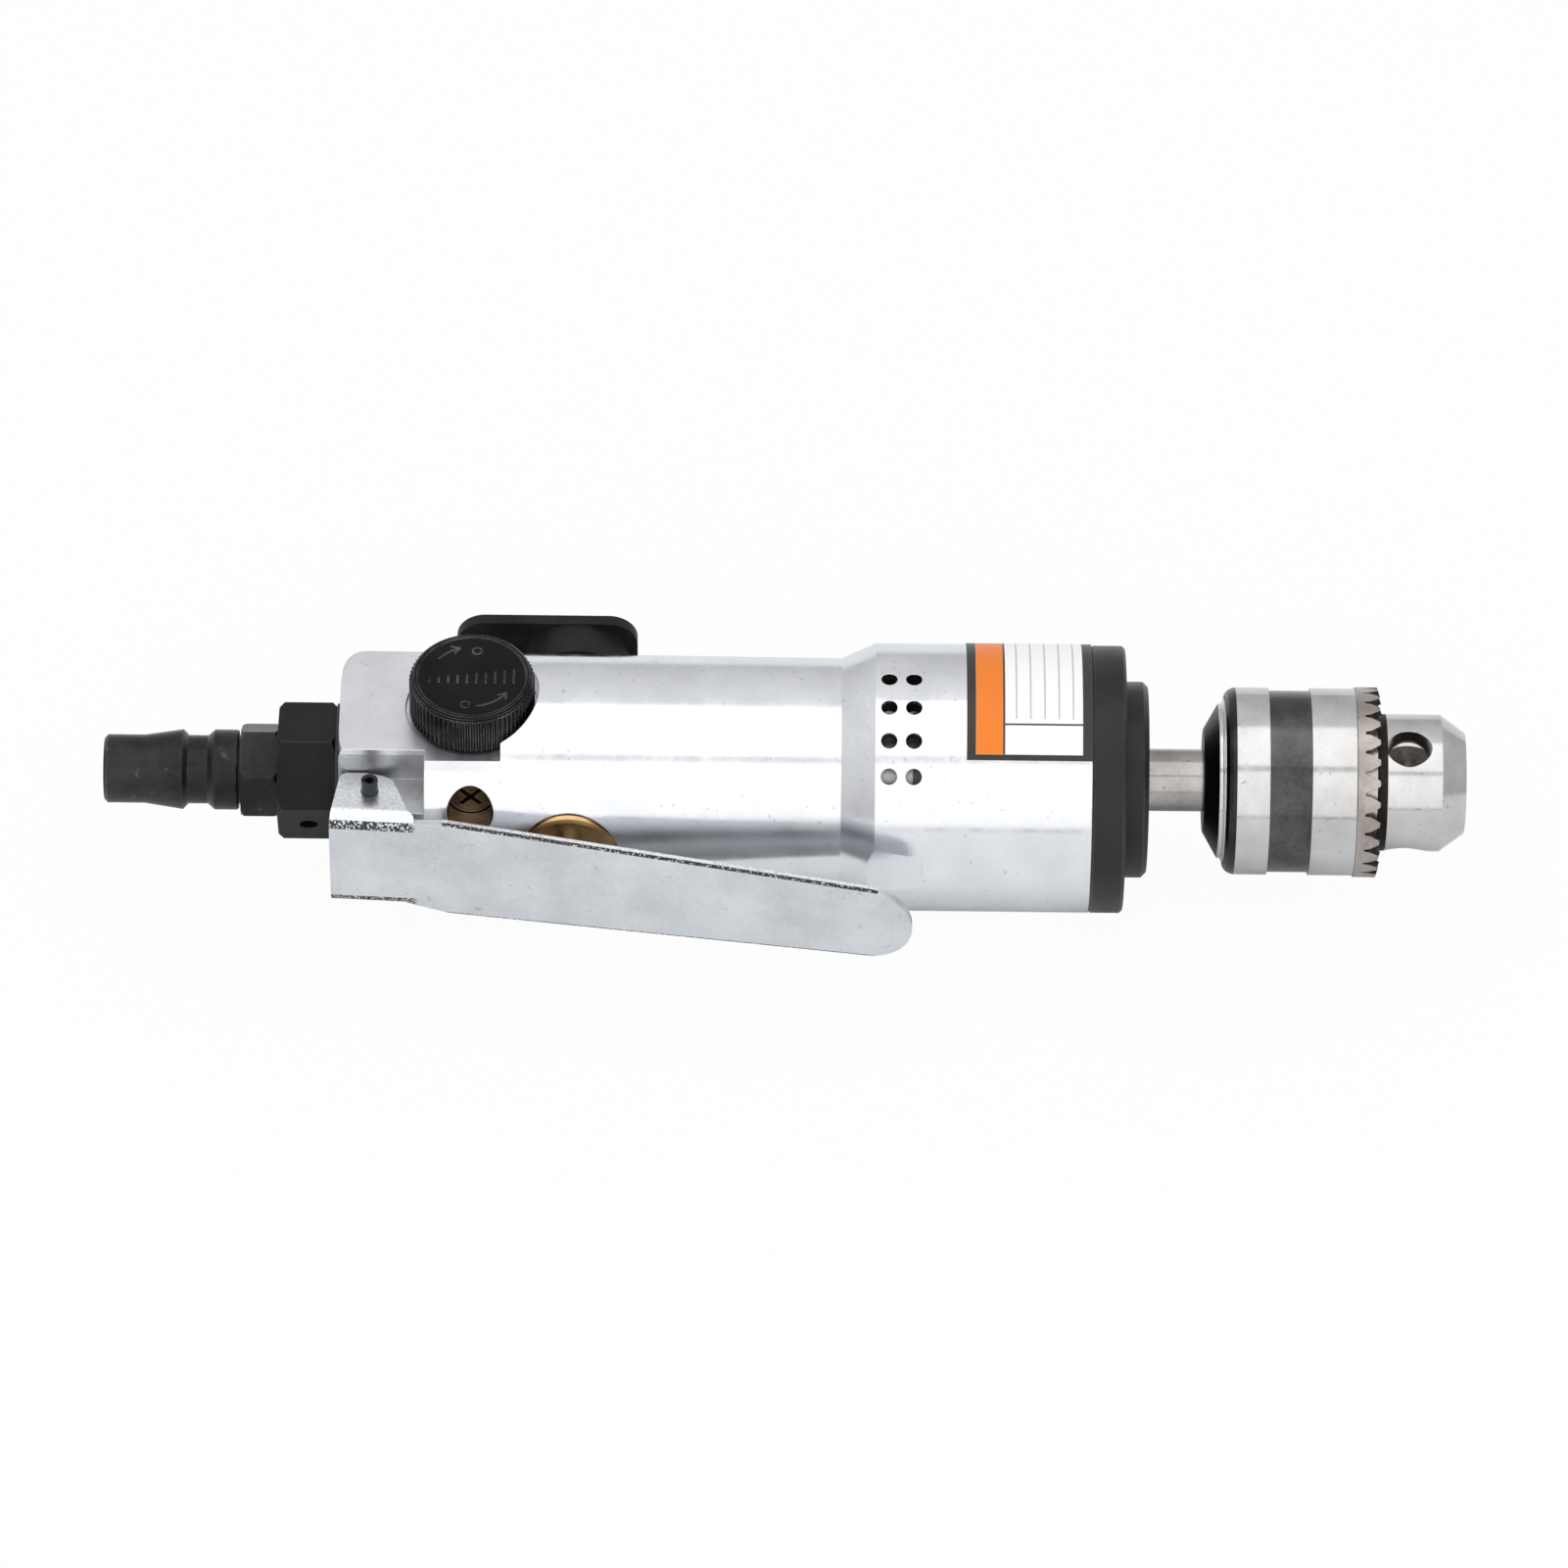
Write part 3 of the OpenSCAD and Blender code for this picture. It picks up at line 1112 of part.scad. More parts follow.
module ring_gear() {
  color(cast_iron) difference() {
    bar(x_ring, x_plate, ring_gear_r);
    translate([x_plate - over, 0, 0]) rotate([90, 0, 90]) rotate([0, 0, 180 / ring_teeth])
      linear_extrude(x_ring - x_plate + 2 * over)
        polygon(gear_outline(ring_teeth, gear_module * (ring_teeth / 2 - tooth_top),
          gear_module * (ring_teeth / 2 + tooth_root), backlash / 2));
  }
}

module bearing_case() {
  color(steel) difference() {
    bar(x_case, x_ring, case_bore_r - press_gap);
    bar(x_case + over, x_bearing_3, spindle_bearing_r);
    bar(x_case + over, x_ring - over, spindle_bearing_r - 1);
  }
}

module spindle() {
  x_screw_end = x_body_end + screw_end_len;
  color(bright_steel) difference() {
    turned([[0, x_screw_end], [screw_end_r - 0.5, x_screw_end], [screw_end_r, x_screw_end - 0.5],
      [screw_end_r, x_body_end], [shaft_r, x_body_end], [shaft_r, x_cap - 2], [bearing_seat_r, x_cap - 2.4],
      [bearing_seat_r, x_bearing_3], [bearing_seat_r + 1.4, x_bearing_3], [bearing_seat_r + 1.4, x_carrier],
      [carrier_r, x_carrier], [carrier_r, x_carrier_rear], [0, x_carrier_rear]]);
    bar(x_slot_front, x_carrier_rear - over, carrier_hole_r);
    bar(x_screw_end + over, x_screw_end - 9, chuck_screw_r + press_gap);
    for (i = [0 : planet_count - 1]) rotate([90 + i * 360 / planet_count, 0, 0]) {
      drill_x(x_slot_front, x_slot_rear, planet_orbit_r, 0, planet_tip_r + free_gap);
      drill_x(x_slot_front + 1.7, x_carrier_rear - over, planet_orbit_r, 0, planet_pin_r + press_gap);
    }
  }
}

module spindle_bearing_front_outer() {
  bearing_outer(x_case, bearing_seat_r, spindle_bearing_h);
}

module spindle_bearing_front_inner() {
  bearing_inner(x_case, bearing_seat_r, spindle_bearing_h);
}

module spindle_bearing_rear_outer() {
  bearing_outer(x_bearing_2, bearing_seat_r, spindle_bearing_h);
}

module spindle_bearing_rear_inner() {
  bearing_inner(x_bearing_2, bearing_seat_r, spindle_bearing_h);
}

module spindle_bearing_balls() {
  for (x = [x_case, x_bearing_2]) ball_cage(x, spindle_pitch_r, spindle_ball_count);
}

module bearing_spacer() {
  color(steel) tube(x_bearing_1, x_bearing_2, spindle_bearing_r - press_gap, spindle_bearing_r - 1.4);
}

// Hole or solid on the sloping line of one jaw
module jaw_bar(r) {
  translate([0, jaw_axis_r, 0]) rotate([0, 0, -jaw_angle]) translate([-60, 0, 0]) rotate([0, 90, 0])
    cylinder(r = r, h = 90);
}

module chuck_body() {
  color(steel) difference() {
    turned([[0, 0], [nose_face_r, 0], [nose_r, -nose_bevel_len], [nose_r, x_nut + 0.3], [nut_groove_r, x_nut + 0.3],
      [nut_groove_r, x_nut_end - 0.3], [body_r, x_nut_end - 0.3], [body_r, x_flange], [flange_r, x_flange],
      [flange_r, x_collar + 0.3], [collar_r, x_collar], [collar_r, x_cone], [rear_face_r, x_body_end],
      [0, x_body_end]]);
    bar(over, -drill_mouth_len, drill_mouth_r);
    bar(over, -drill_bore_len, drill_bore_r);
    bar(over, x_body_end - over, chuck_screw_r + press_gap);
    bar(x_body_end + screw_end_len + 0.2, x_body_end - over, screw_end_r + press_gap);
    for (i = [0 : key_hole_count - 1]) rotate([key_hole_angle + i * 360 / key_hole_count, 0, 0])
      turned_y(-key_hole_back, [[0, nose_r - key_hole_depth - key_cone_h], [key_hole_r, nose_r - key_hole_depth],
        [key_hole_r, nose_r - key_bevel], [key_hole_r + 3, nose_r - key_bevel + 3], [0, nose_r - key_bevel + 3]]);
    intersection() {
      for (i = [0 : jaw_count - 1]) rotate([key_hole_angle + 60 + i * 360 / jaw_count, 0, 0])
        jaw_bar(jaw_r + running_gap);
      bar(over, x_flange + 0.3, 2 * body_r);
    }
  }
}

module chuck_screw() {
  x_seat = -drill_bore_len;
  color(black_steel) difference() {
    union() {
      bar(x_seat + chuck_screw_head_len, x_seat, chuck_screw_head_r);
      bar(x_seat + over, x_body_end + screw_end_len - 7.5, chuck_screw_r);
    }
    translate([x_seat + chuck_screw_head_len, 0, 0]) cube([2.4, 1.1, 3 * chuck_screw_head_r], center = true);
  }
}

// One gap between two teeth, narrow at its root and running in towards the nose
module tooth_gap() {
  half = PI * tooth_ring_r / tooth_count;
  slope = 16;
  translate([x_teeth - tooth_slope_len - tooth_depth + 0.1, tooth_ring_r, 0]) rotate([0, 0, -slope]) rotate([90, 0, 0])
    translate([0, 0, -2]) linear_extrude(8) polygon([[0, -0.25], [0, 0.25], [tooth_depth * 0.35, 0.45],
      [tooth_depth * 0.8, half * 0.62], [tooth_depth * 1.1, half * 0.9], [2 * tooth_depth, half],
      [2 * tooth_depth, -half], [tooth_depth * 1.1, -half * 0.9], [tooth_depth * 0.8, -half * 0.62],
      [tooth_depth * 0.35, -0.45]]);
}

module chuck_sleeve() {
  color(steel) difference() {
    turned([[sleeve_front_r, x_teeth - 0.2], [sleeve_front_r + 0.2, x_teeth - 0.1],
      [tooth_ring_r, x_teeth - tooth_slope_len], [tooth_ring_r, x_band_1 + 0.1], [sleeve_r, x_band_1],
      [sleeve_r, x_band_2], [sleeve_r - band_relief, x_band_2], [sleeve_r - band_relief, x_band_3],
      [sleeve_r, x_band_3], [sleeve_r, x_tail], [sleeve_r - 0.15, x_tail - 0.35 * sleeve_tail_len],
      [sleeve_r - 0.5, x_tail - 0.7 * sleeve_tail_len], [sleeve_r - 1.2, x_sleeve_end],
      [sleeve_bore_r, x_sleeve_end], [sleeve_bore_r, x_nut], [sleeve_front_r, x_nut]]);
    for (i = [0 : tooth_count - 1]) rotate([i * tooth_pitch, 0, 0]) tooth_gap();
  }
}

module chuck_nut() {
  color(steel) difference() {
    turned([[jaw_line(x_nut, free_gap), x_nut], [sleeve_bore_r - press_gap, x_nut],
      [sleeve_bore_r - press_gap, x_nut_end], [jaw_line(x_nut_end, free_gap), x_nut_end]]);
    translate([x_nut_end - over, -2 * body_r, -0.15]) cube([nut_len + 2 * over, 4 * body_r, 0.3]);
  }
}

// Teeth cut across the outside of a jaw, as rings round the spindle axis
module jaw_thread() {
  first = x_nut + 1;
  turns = floor((first - x_jaw_end) / jaw_pitch);
  turned(concat(
    [for (i = [0 : turns - 1]) each [
      [jaw_line(first - i * jaw_pitch, 0.01), first - i * jaw_pitch],
      [jaw_line(first - (i + 0.3) * jaw_pitch, -jaw_thread_depth), first - (i + 0.3) * jaw_pitch],
      [jaw_line(first - (i + 0.6) * jaw_pitch, -jaw_thread_depth), first - (i + 0.6) * jaw_pitch],
      [jaw_line(first - (i + 0.9) * jaw_pitch, 0.01), first - (i + 0.9) * jaw_pitch]]],
    [[jaw_line(first - turns * jaw_pitch, 1), first - turns * jaw_pitch], [jaw_line(first, 1), first]]));
}

// Jaw number i in its open place
module jaw(i) {
  color(bright_steel) rotate([key_hole_angle + 60 + i * 360 / jaw_count, 0, 0]) difference() {
    intersection() {
      jaw_bar(jaw_r);
      translate([x_jaw_end, jaw_open_r, 0]) rotate([90, 0, 90]) linear_extrude(-jaw_recess - x_jaw_end)
        polygon([[0, 0], [15, -15 * tan(60)], [15, 15 * tan(60)]]);
      bar(-jaw_recess, x_jaw_end, flange_r);
    }
    jaw_thread();
  }
}

module planet_gear_1() { planet_gear(0); }
module planet_gear_2() { planet_gear(1); }
module planet_gear_3() { planet_gear(2); }
module jaw_1() { jaw(0); }
module jaw_2() { jaw(1); }
module jaw_3() { jaw(2); }

housing();
inlet_washer();
inlet_bushing();
inlet_screen();
air_plug();
front_cap();
shaft_seal();
label();
lever_pin();
throttle_lever();
throttle_bush();
throttle_stem();
valve_seal();
throttle_spring();
regulator_knob();
regulator_stem();
regulator_o_rings();
regulator_screw();
reverse_lever();
reverse_spool();
reverse_screw();
reverse_bush();
spool_clip();
rear_gasket();
rear_end_plate();
motor_cylinder();
front_end_plate();
motor_dowel();
rotor();
rotor_vanes();
rotor_bearing_rear_outer();
rotor_bearing_rear_inner();
rotor_bearing_front_outer();
rotor_bearing_front_inner();
rotor_bearing_balls();
sun_gear();
planet_gear_1();
planet_gear_2();
planet_gear_3();
planet_pins();
ring_gear();
bearing_case();
spindle();
spindle_bearing_rear_outer();
spindle_bearing_rear_inner();
spindle_bearing_front_outer();
spindle_bearing_front_inner();
spindle_bearing_balls();
bearing_spacer();
chuck_body();
chuck_screw();
chuck_sleeve();
chuck_nut();
jaw_1();
jaw_2();
jaw_3();
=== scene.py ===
import bmesh, bpy, math
import numpy as np
from mathutils import Matrix, Vector


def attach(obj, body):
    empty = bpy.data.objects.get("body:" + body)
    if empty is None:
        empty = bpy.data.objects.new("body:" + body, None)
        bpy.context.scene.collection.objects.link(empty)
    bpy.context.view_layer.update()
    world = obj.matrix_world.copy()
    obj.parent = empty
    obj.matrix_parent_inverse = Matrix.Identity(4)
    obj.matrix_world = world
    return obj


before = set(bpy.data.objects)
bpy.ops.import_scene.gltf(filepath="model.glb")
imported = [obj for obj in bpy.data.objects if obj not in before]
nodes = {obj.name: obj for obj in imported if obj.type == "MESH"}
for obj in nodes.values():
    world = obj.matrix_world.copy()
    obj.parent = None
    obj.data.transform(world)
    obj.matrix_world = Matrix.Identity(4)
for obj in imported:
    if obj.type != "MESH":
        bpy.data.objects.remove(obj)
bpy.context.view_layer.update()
print("frame loaded with", len(nodes), "pieces")

# camera, along +Y and down by the elevation, with the chuck end a little lower
cameraView = {"elevation": 46.0, "roll": 0.64, "distance": 1.9, "aim": (-0.1221, -0.0011, -0.0010),
              "frameWidth": 0.2818, "sensor": 36.0, "farEnd": 20}


def placeCamera(view):
    tilt, roll = math.radians(view["elevation"]), math.radians(view["roll"])
    back = Vector((0, -math.cos(tilt), math.sin(tilt)))
    up = Vector((0, math.sin(tilt), math.cos(tilt)))
    side = Vector((1, 0, 0))
    columns = (side * math.cos(roll) + up * math.sin(roll), up * math.cos(roll) - side * math.sin(roll), back)
    camera = bpy.data.objects.new("camera", bpy.data.cameras.new("camera"))
    bpy.context.scene.collection.objects.link(camera)
    camera.matrix_world = (Matrix.Translation(Vector(view["aim"]) + back * view["distance"])
                           @ Matrix(columns).transposed().to_4x4())
    camera.data.sensor_width = view["sensor"]
    camera.data.lens = view["sensor"] * view["distance"] / view["frameWidth"]
    camera.data.clip_end = view["farEnd"]
    bpy.context.scene.camera = camera


placeCamera(cameraView)

# places of the colour sockets on a Mix node
mixPlaces = {"amount": 0, "first": 6, "second": 7, "result": 2}


# a shader node, with each setting given to the socket of that name or else to the node itself
def newNode(tree, kind, **settings):
    made = tree.nodes.new("ShaderNode" + kind)
    for name, value in settings.items():
        if name in made.inputs:
            made.inputs[name].default_value = value
        else:
            setattr(made, name, value)
    return made


# a Math node on numbers or on the outputs of other nodes
def calc(tree, operation, a, b=0.0, c=0.0):
    made = newNode(tree, "Math", operation=operation)
    for place, value in zip(made.inputs, (a, b, c)):
        if isinstance(value, (int, float)):
            place.default_value = value
        else:
            tree.links.new(value, place)
    return made.outputs[0]


# the first colour where the amount is zero, the second where it is one
def blendColour(tree, amount, first, second):
    made = newNode(tree, "Mix", data_type="RGBA")
    for label, value in (("amount", amount), ("first", first), ("second", second)):
        place = made.inputs[mixPlaces[label]]
        if isinstance(value, (int, float)):
            place.default_value = value
        elif isinstance(value, tuple):
            place.default_value = (*value, 1)
        else:
            tree.links.new(value, place)
    return made.outputs[mixPlaces["result"]]


# a value carried from the range low to high to the range start to end, and held at both ends
def remap(tree, value, low, high, start=0, end=1, smooth=False):
    made = newNode(tree, "MapRange", interpolation_type="SMOOTHSTEP" if smooth else "LINEAR")
    for label, number in (("From Min", low), ("From Max", high), ("To Min", start), ("To Max", end)):
        made.inputs[label].default_value = number
    tree.links.new(value, made.inputs["Value"])
    return made.outputs[0]


# how far a value is above a start, times a gain, and never below zero
def rampFrom(tree, value, start, gain):
    return calc(tree, "MAXIMUM", calc(tree, "MULTIPLY", calc(tree, "SUBTRACT", value, start), gain), 0)


# one between low and high, zero elsewhere, with soft ends
def inBand(tree, along, low, high, soft):
    rise = remap(tree, along, low - soft, low + soft, smooth=True)
    fall = remap(tree, along, high - soft, high + soft, 1, 0, smooth=True)
    return calc(tree, "MULTIPLY", rise, fall)


# one within a radius round the X axis, zero outside it
def insideOf(tree, parts, radius, soft):
    away = calc(tree, "SQRT", calc(tree, "MULTIPLY_ADD", parts["Y"], parts["Y"],
                                   calc(tree, "MULTIPLY", parts["Z"], parts["Z"])))
    return remap(tree, away, radius - soft, radius + soft, 1, 0, smooth=True)


# the place in object coordinates, in metres, and its X, Y and Z
def objectPlace(tree):
    place = newNode(tree, "TexCoord").outputs["Object"]
    split = newNode(tree, "SeparateXYZ")
    tree.links.new(place, split.inputs[0])
    return place, split.outputs


def principledOf(material):
    return next(n for n in material.node_tree.nodes if n.type == "BSDF_PRINCIPLED")


def newMaterial(name):
    material = bpy.data.materials.new(name)
    material.use_nodes = True
    return material, material.node_tree, principledOf(material)


# an empty node group with its sockets and its two end nodes
def shaderGroup(name, inputs, outputs):
    group = bpy.data.node_groups.new(name, "ShaderNodeTree")
    for label, kind, value in inputs:
        made = group.interface.new_socket(label, in_out="INPUT", socket_type="NodeSocket" + kind)
        if kind == "Float":
            made.default_value = value
    for label in outputs:
        group.interface.new_socket(label, in_out="OUTPUT", socket_type="NodeSocketFloat")
    return group, group.nodes.new("NodeGroupInput"), group.nodes.new("NodeGroupOutput")


# rings that a lathe leaves: noise that changes only along the turned axis
ringLook = {"wideScale": 0.13, "fineShare": 0.7, "wideShare": 0.3}


def makeTurnedRings(look):
    group, given, result = shaderGroup("turnedRings", [("Along", "Float", 0), ("Rings", "Float", 3000)],
                                       ["Height", "Shade"])
    fine = newNode(group, "TexNoise", noise_dimensions="1D", Scale=1, Detail=2, Roughness=0.6)
    wide = newNode(group, "TexNoise", noise_dimensions="1D", Scale=1, Detail=3, Roughness=0.5)
    wideRings = calc(group, "MULTIPLY", given.outputs["Rings"], look["wideScale"])
    group.links.new(calc(group, "MULTIPLY", given.outputs["Along"], given.outputs["Rings"]), fine.inputs["W"])
    group.links.new(calc(group, "MULTIPLY", given.outputs["Along"], wideRings), wide.inputs["W"])
    height = calc(group, "MULTIPLY_ADD", fine.outputs[0], look["fineShare"],
                  calc(group, "MULTIPLY", wide.outputs[0], look["wideShare"]))
    group.links.new(height, result.inputs["Height"])
    group.links.new(wide.outputs[0], result.inputs["Shade"])
    return group


# grain, broad cloudiness and rare dark specks of a handled metal surface
grainLook = {"grainScale": 1.0, "cloudScale": 0.08, "speckScale": 0.6, "speckStart": 0.71, "speckGain": 14,
             "speckSoft": 0.1}


def makeSurfaceGrain(look):
    group, given, result = shaderGroup("surfaceGrain", [("Vector", "Vector", None), ("Scale", "Float", 900)],
                                       ["Grain", "Cloud", "Specks"])
    grain = newNode(group, "TexNoise", Detail=3, Roughness=0.7)
    cloud = newNode(group, "TexNoise", Detail=4, Roughness=0.55)
    specks = newNode(group, "TexNoise", Detail=1, Roughness=0.4)
    for made, scale in ((grain, "grainScale"), (cloud, "cloudScale"), (specks, "speckScale")):
        group.links.new(given.outputs["Vector"], made.inputs["Vector"])
        group.links.new(calc(group, "MULTIPLY", given.outputs["Scale"], look[scale]), made.inputs["Scale"])
    rare = rampFrom(group, specks.outputs[0], look["speckStart"], look["speckGain"])
    group.links.new(grain.outputs[0], result.inputs["Grain"])
    group.links.new(cloud.outputs[0], result.inputs["Cloud"])
    group.links.new(calc(group, "SMOOTH_MIN", rare, 1, look["speckSoft"]), result.inputs["Specks"])
    return group


# long scratches: noise drawn out along one direction, twice with another turn and stretch
scratchLook = {"runs": ((0.35, (500, 9000, 9000)), (-0.6, (300, 7000, 7000))), "tilt": 0.6, "start": 0.68,
               "gain": 12}


def makeLongScratches(look):
    sockets = [("Vector", "Vector", None), ("Amount", "Float", 0.5)]
    group, given, result = shaderGroup("longScratches", sockets, ["Scratch"])
    lines = []
    for turn, stretch in look["runs"]:
        turned = newNode(group, "Mapping", Rotation=(turn, turn * look["tilt"], turn), Scale=stretch)
        noise = newNode(group, "TexNoise", Scale=1, Detail=1, Roughness=0.5)
        group.links.new(given.outputs["Vector"], turned.inputs["Vector"])
        group.links.new(turned.outputs[0], noise.inputs["Vector"])
        lines.append(rampFrom(group, noise.outputs[0], look["start"], look["gain"]))
    strongest = calc(group, "MINIMUM", calc(group, "MAXIMUM", lines[1], lines[0]), 1)
    group.links.new(calc(group, "MULTIPLY", strongest, given.outputs["Amount"]), result.inputs["Scratch"])
    return group


# how sharp an outer edge is, from the difference between a rounded and the true normal, for edges lightened
# partly as wear and partly as painted glints
edgeLook = {"samples": 4, "gain": 9}


def makeEdgeWearAndGlint(look):
    group, given, result = shaderGroup("edgeWearAndGlint", [("Width", "Float", 0.0003)], ["Edge"])
    rounded = newNode(group, "Bevel", samples=look["samples"])
    true = newNode(group, "NewGeometry")
    group.links.new(given.outputs["Width"], rounded.inputs["Radius"])
    dot = newNode(group, "VectorMath", operation="DOT_PRODUCT")
    group.links.new(rounded.outputs[0], dot.inputs[0])
    group.links.new(true.outputs["Normal"], dot.inputs[1])
    turned = calc(group, "SUBTRACT", 1, dot.outputs["Value"])
    group.links.new(calc(group, "MINIMUM", calc(group, "MULTIPLY", turned, look["gain"]), 1),
                    result.inputs["Edge"])
    return group


groups = {"rings": makeTurnedRings(ringLook), "grain": makeSurfaceGrain(grainLook),
          "scratches": makeLongScratches(scratchLook), "edges": makeEdgeWearAndGlint(edgeLook)}
print("shader groups made")

# what a finish has unless it says otherwise, and the numbers that all finishes share
usualLook = {"grainScale": 900, "grainDepth": 0.3, "bump": 0.15, "metal": 1.0, "specular": 0.5, "bands": (),
             "specks": 0, "speckColour": (0.05, 0.045, 0.04), "scratches": 0,
             "scratchColour": (0.9, 0.9, 0.9), "edge": 0, "edgeWidth": 0.0003, "rings": 0, "ringAxis": "X",
             "ringDepth": 1, "round": 0}
finishLevels = {"cloudShare": 0.75, "grainShare": 0.25, "shadeFrom": 0.36, "shadeTo": 0.64,
                "bandSoft": 0.00005, "insideSoft": 0.0001, "scratchDepth": 0.6, "ringRough": 0.16,
                "bumpDistance": 0.0001, "roundSamples": 4, "leastRough": 0.05}


# a band of another colour and roughness along the X axis, kept to a part of it where the band says so
def layBand(tree, parts, shade, colour, rough, band):
    mask = inBand(tree, parts["X"], band["from"], band["to"], finishLevels["bandSoft"])
    for axis, low, high in band.get("within", ()):
        limit = inBand(tree, parts[axis], low, high, finishLevels["bandSoft"])
        mask = calc(tree, "MULTIPLY", mask, limit)
    if "inside" in band:
        limit = insideOf(tree, parts, band["inside"], band.get("insideSoft", finishLevels["insideSoft"]))
        mask = calc(tree, "MULTIPLY", mask, limit)
    colour = blendColour(tree, mask, colour, blendColour(tree, shade, band["low"], band["high"]))
    rest = calc(tree, "MULTIPLY", rough, calc(tree, "SUBTRACT", 1, mask))
    return colour, calc(tree, "ADD", rest, calc(tree, "MULTIPLY", mask, band["rough"]))


# one finish: colour with cloud, grain, specks and scratches, edges lightened as wear and as painted glints,
# turned rings and fine bump
def makeFinish(name, changes):
    look, levels = {**usualLook, **changes}, finishLevels
    material, tree, shader = newMaterial(name)
    place, parts = objectPlace(tree)
    grain = newNode(tree, "Group", node_tree=groups["grain"])
    tree.links.new(place, grain.inputs["Vector"])
    grain.inputs["Scale"].default_value = look["grainScale"]
    mottle = calc(tree, "MULTIPLY_ADD", grain.outputs["Cloud"], levels["cloudShare"],
                  calc(tree, "MULTIPLY", grain.outputs["Grain"], levels["grainShare"]))
    shade = remap(tree, mottle, levels["shadeFrom"], levels["shadeTo"])
    colour = blendColour(tree, shade, look["low"], look["high"])
    height = calc(tree, "MULTIPLY", grain.outputs["Grain"], look["grainDepth"])
    smoothest, roughest = look["rough"]
    rough = calc(tree, "MULTIPLY_ADD", shade, roughest - smoothest, smoothest)
    for band in look["bands"]:
        colour, rough = layBand(tree, parts, shade, colour, rough, band)
    if look["specks"]:
        colour = blendColour(tree, calc(tree, "MULTIPLY", grain.outputs["Specks"], look["specks"]), colour,
                             look["speckColour"])
    if look["scratches"]:
        lines = newNode(tree, "Group", node_tree=groups["scratches"])
        lines.inputs["Amount"].default_value = look["scratches"]
        tree.links.new(place, lines.inputs["Vector"])
        colour = blendColour(tree, lines.outputs[0], colour, look["scratchColour"])
        furrow = calc(tree, "MULTIPLY", lines.outputs[0], levels["scratchDepth"])
        height = calc(tree, "SUBTRACT", height, furrow)
    # edges in the edge colour: partly wear, partly painted glints
    if look["edge"]:
        edges = newNode(tree, "Group", node_tree=groups["edges"])
        edges.inputs["Width"].default_value = look["edgeWidth"]
        wearAndGlint = calc(tree, "MULTIPLY", edges.outputs[0], calc(tree, "MULTIPLY", shade, look["edge"]))
        colour = blendColour(tree, calc(tree, "MINIMUM", wearAndGlint, 1), colour, look["edgeColour"])
    if look["rings"]:
        rings = newNode(tree, "Group", node_tree=groups["rings"])
        rings.inputs["Rings"].default_value = look["rings"]
        tree.links.new(parts[look["ringAxis"]], rings.inputs["Along"])
        height = calc(tree, "ADD", height, calc(tree, "MULTIPLY", rings.outputs["Height"], look["ringDepth"]))
        spread = levels["ringRough"]
        change = calc(tree, "MULTIPLY_ADD", rings.outputs["Shade"], spread, -spread / 2)
        rough = calc(tree, "ADD", rough, change)
    bump = newNode(tree, "Bump", Strength=look["bump"], Distance=levels["bumpDistance"])
    tree.links.new(height, bump.inputs["Height"])
    if look["round"]:
        soft = newNode(tree, "Bevel", samples=levels["roundSamples"], Radius=look["round"])
        tree.links.new(soft.outputs[0], bump.inputs["Normal"])
    tree.links.new(bump.outputs[0], shader.inputs["Normal"])
    tree.links.new(colour, shader.inputs["Base Color"])
    tree.links.new(calc(tree, "MAXIMUM", rough, levels["leastRough"]), shader.inputs["Roughness"])
    shader.inputs["Metallic"].default_value = look["metal"]
    shader.inputs["Specular IOR Level"].default_value = look["specular"]
    return material


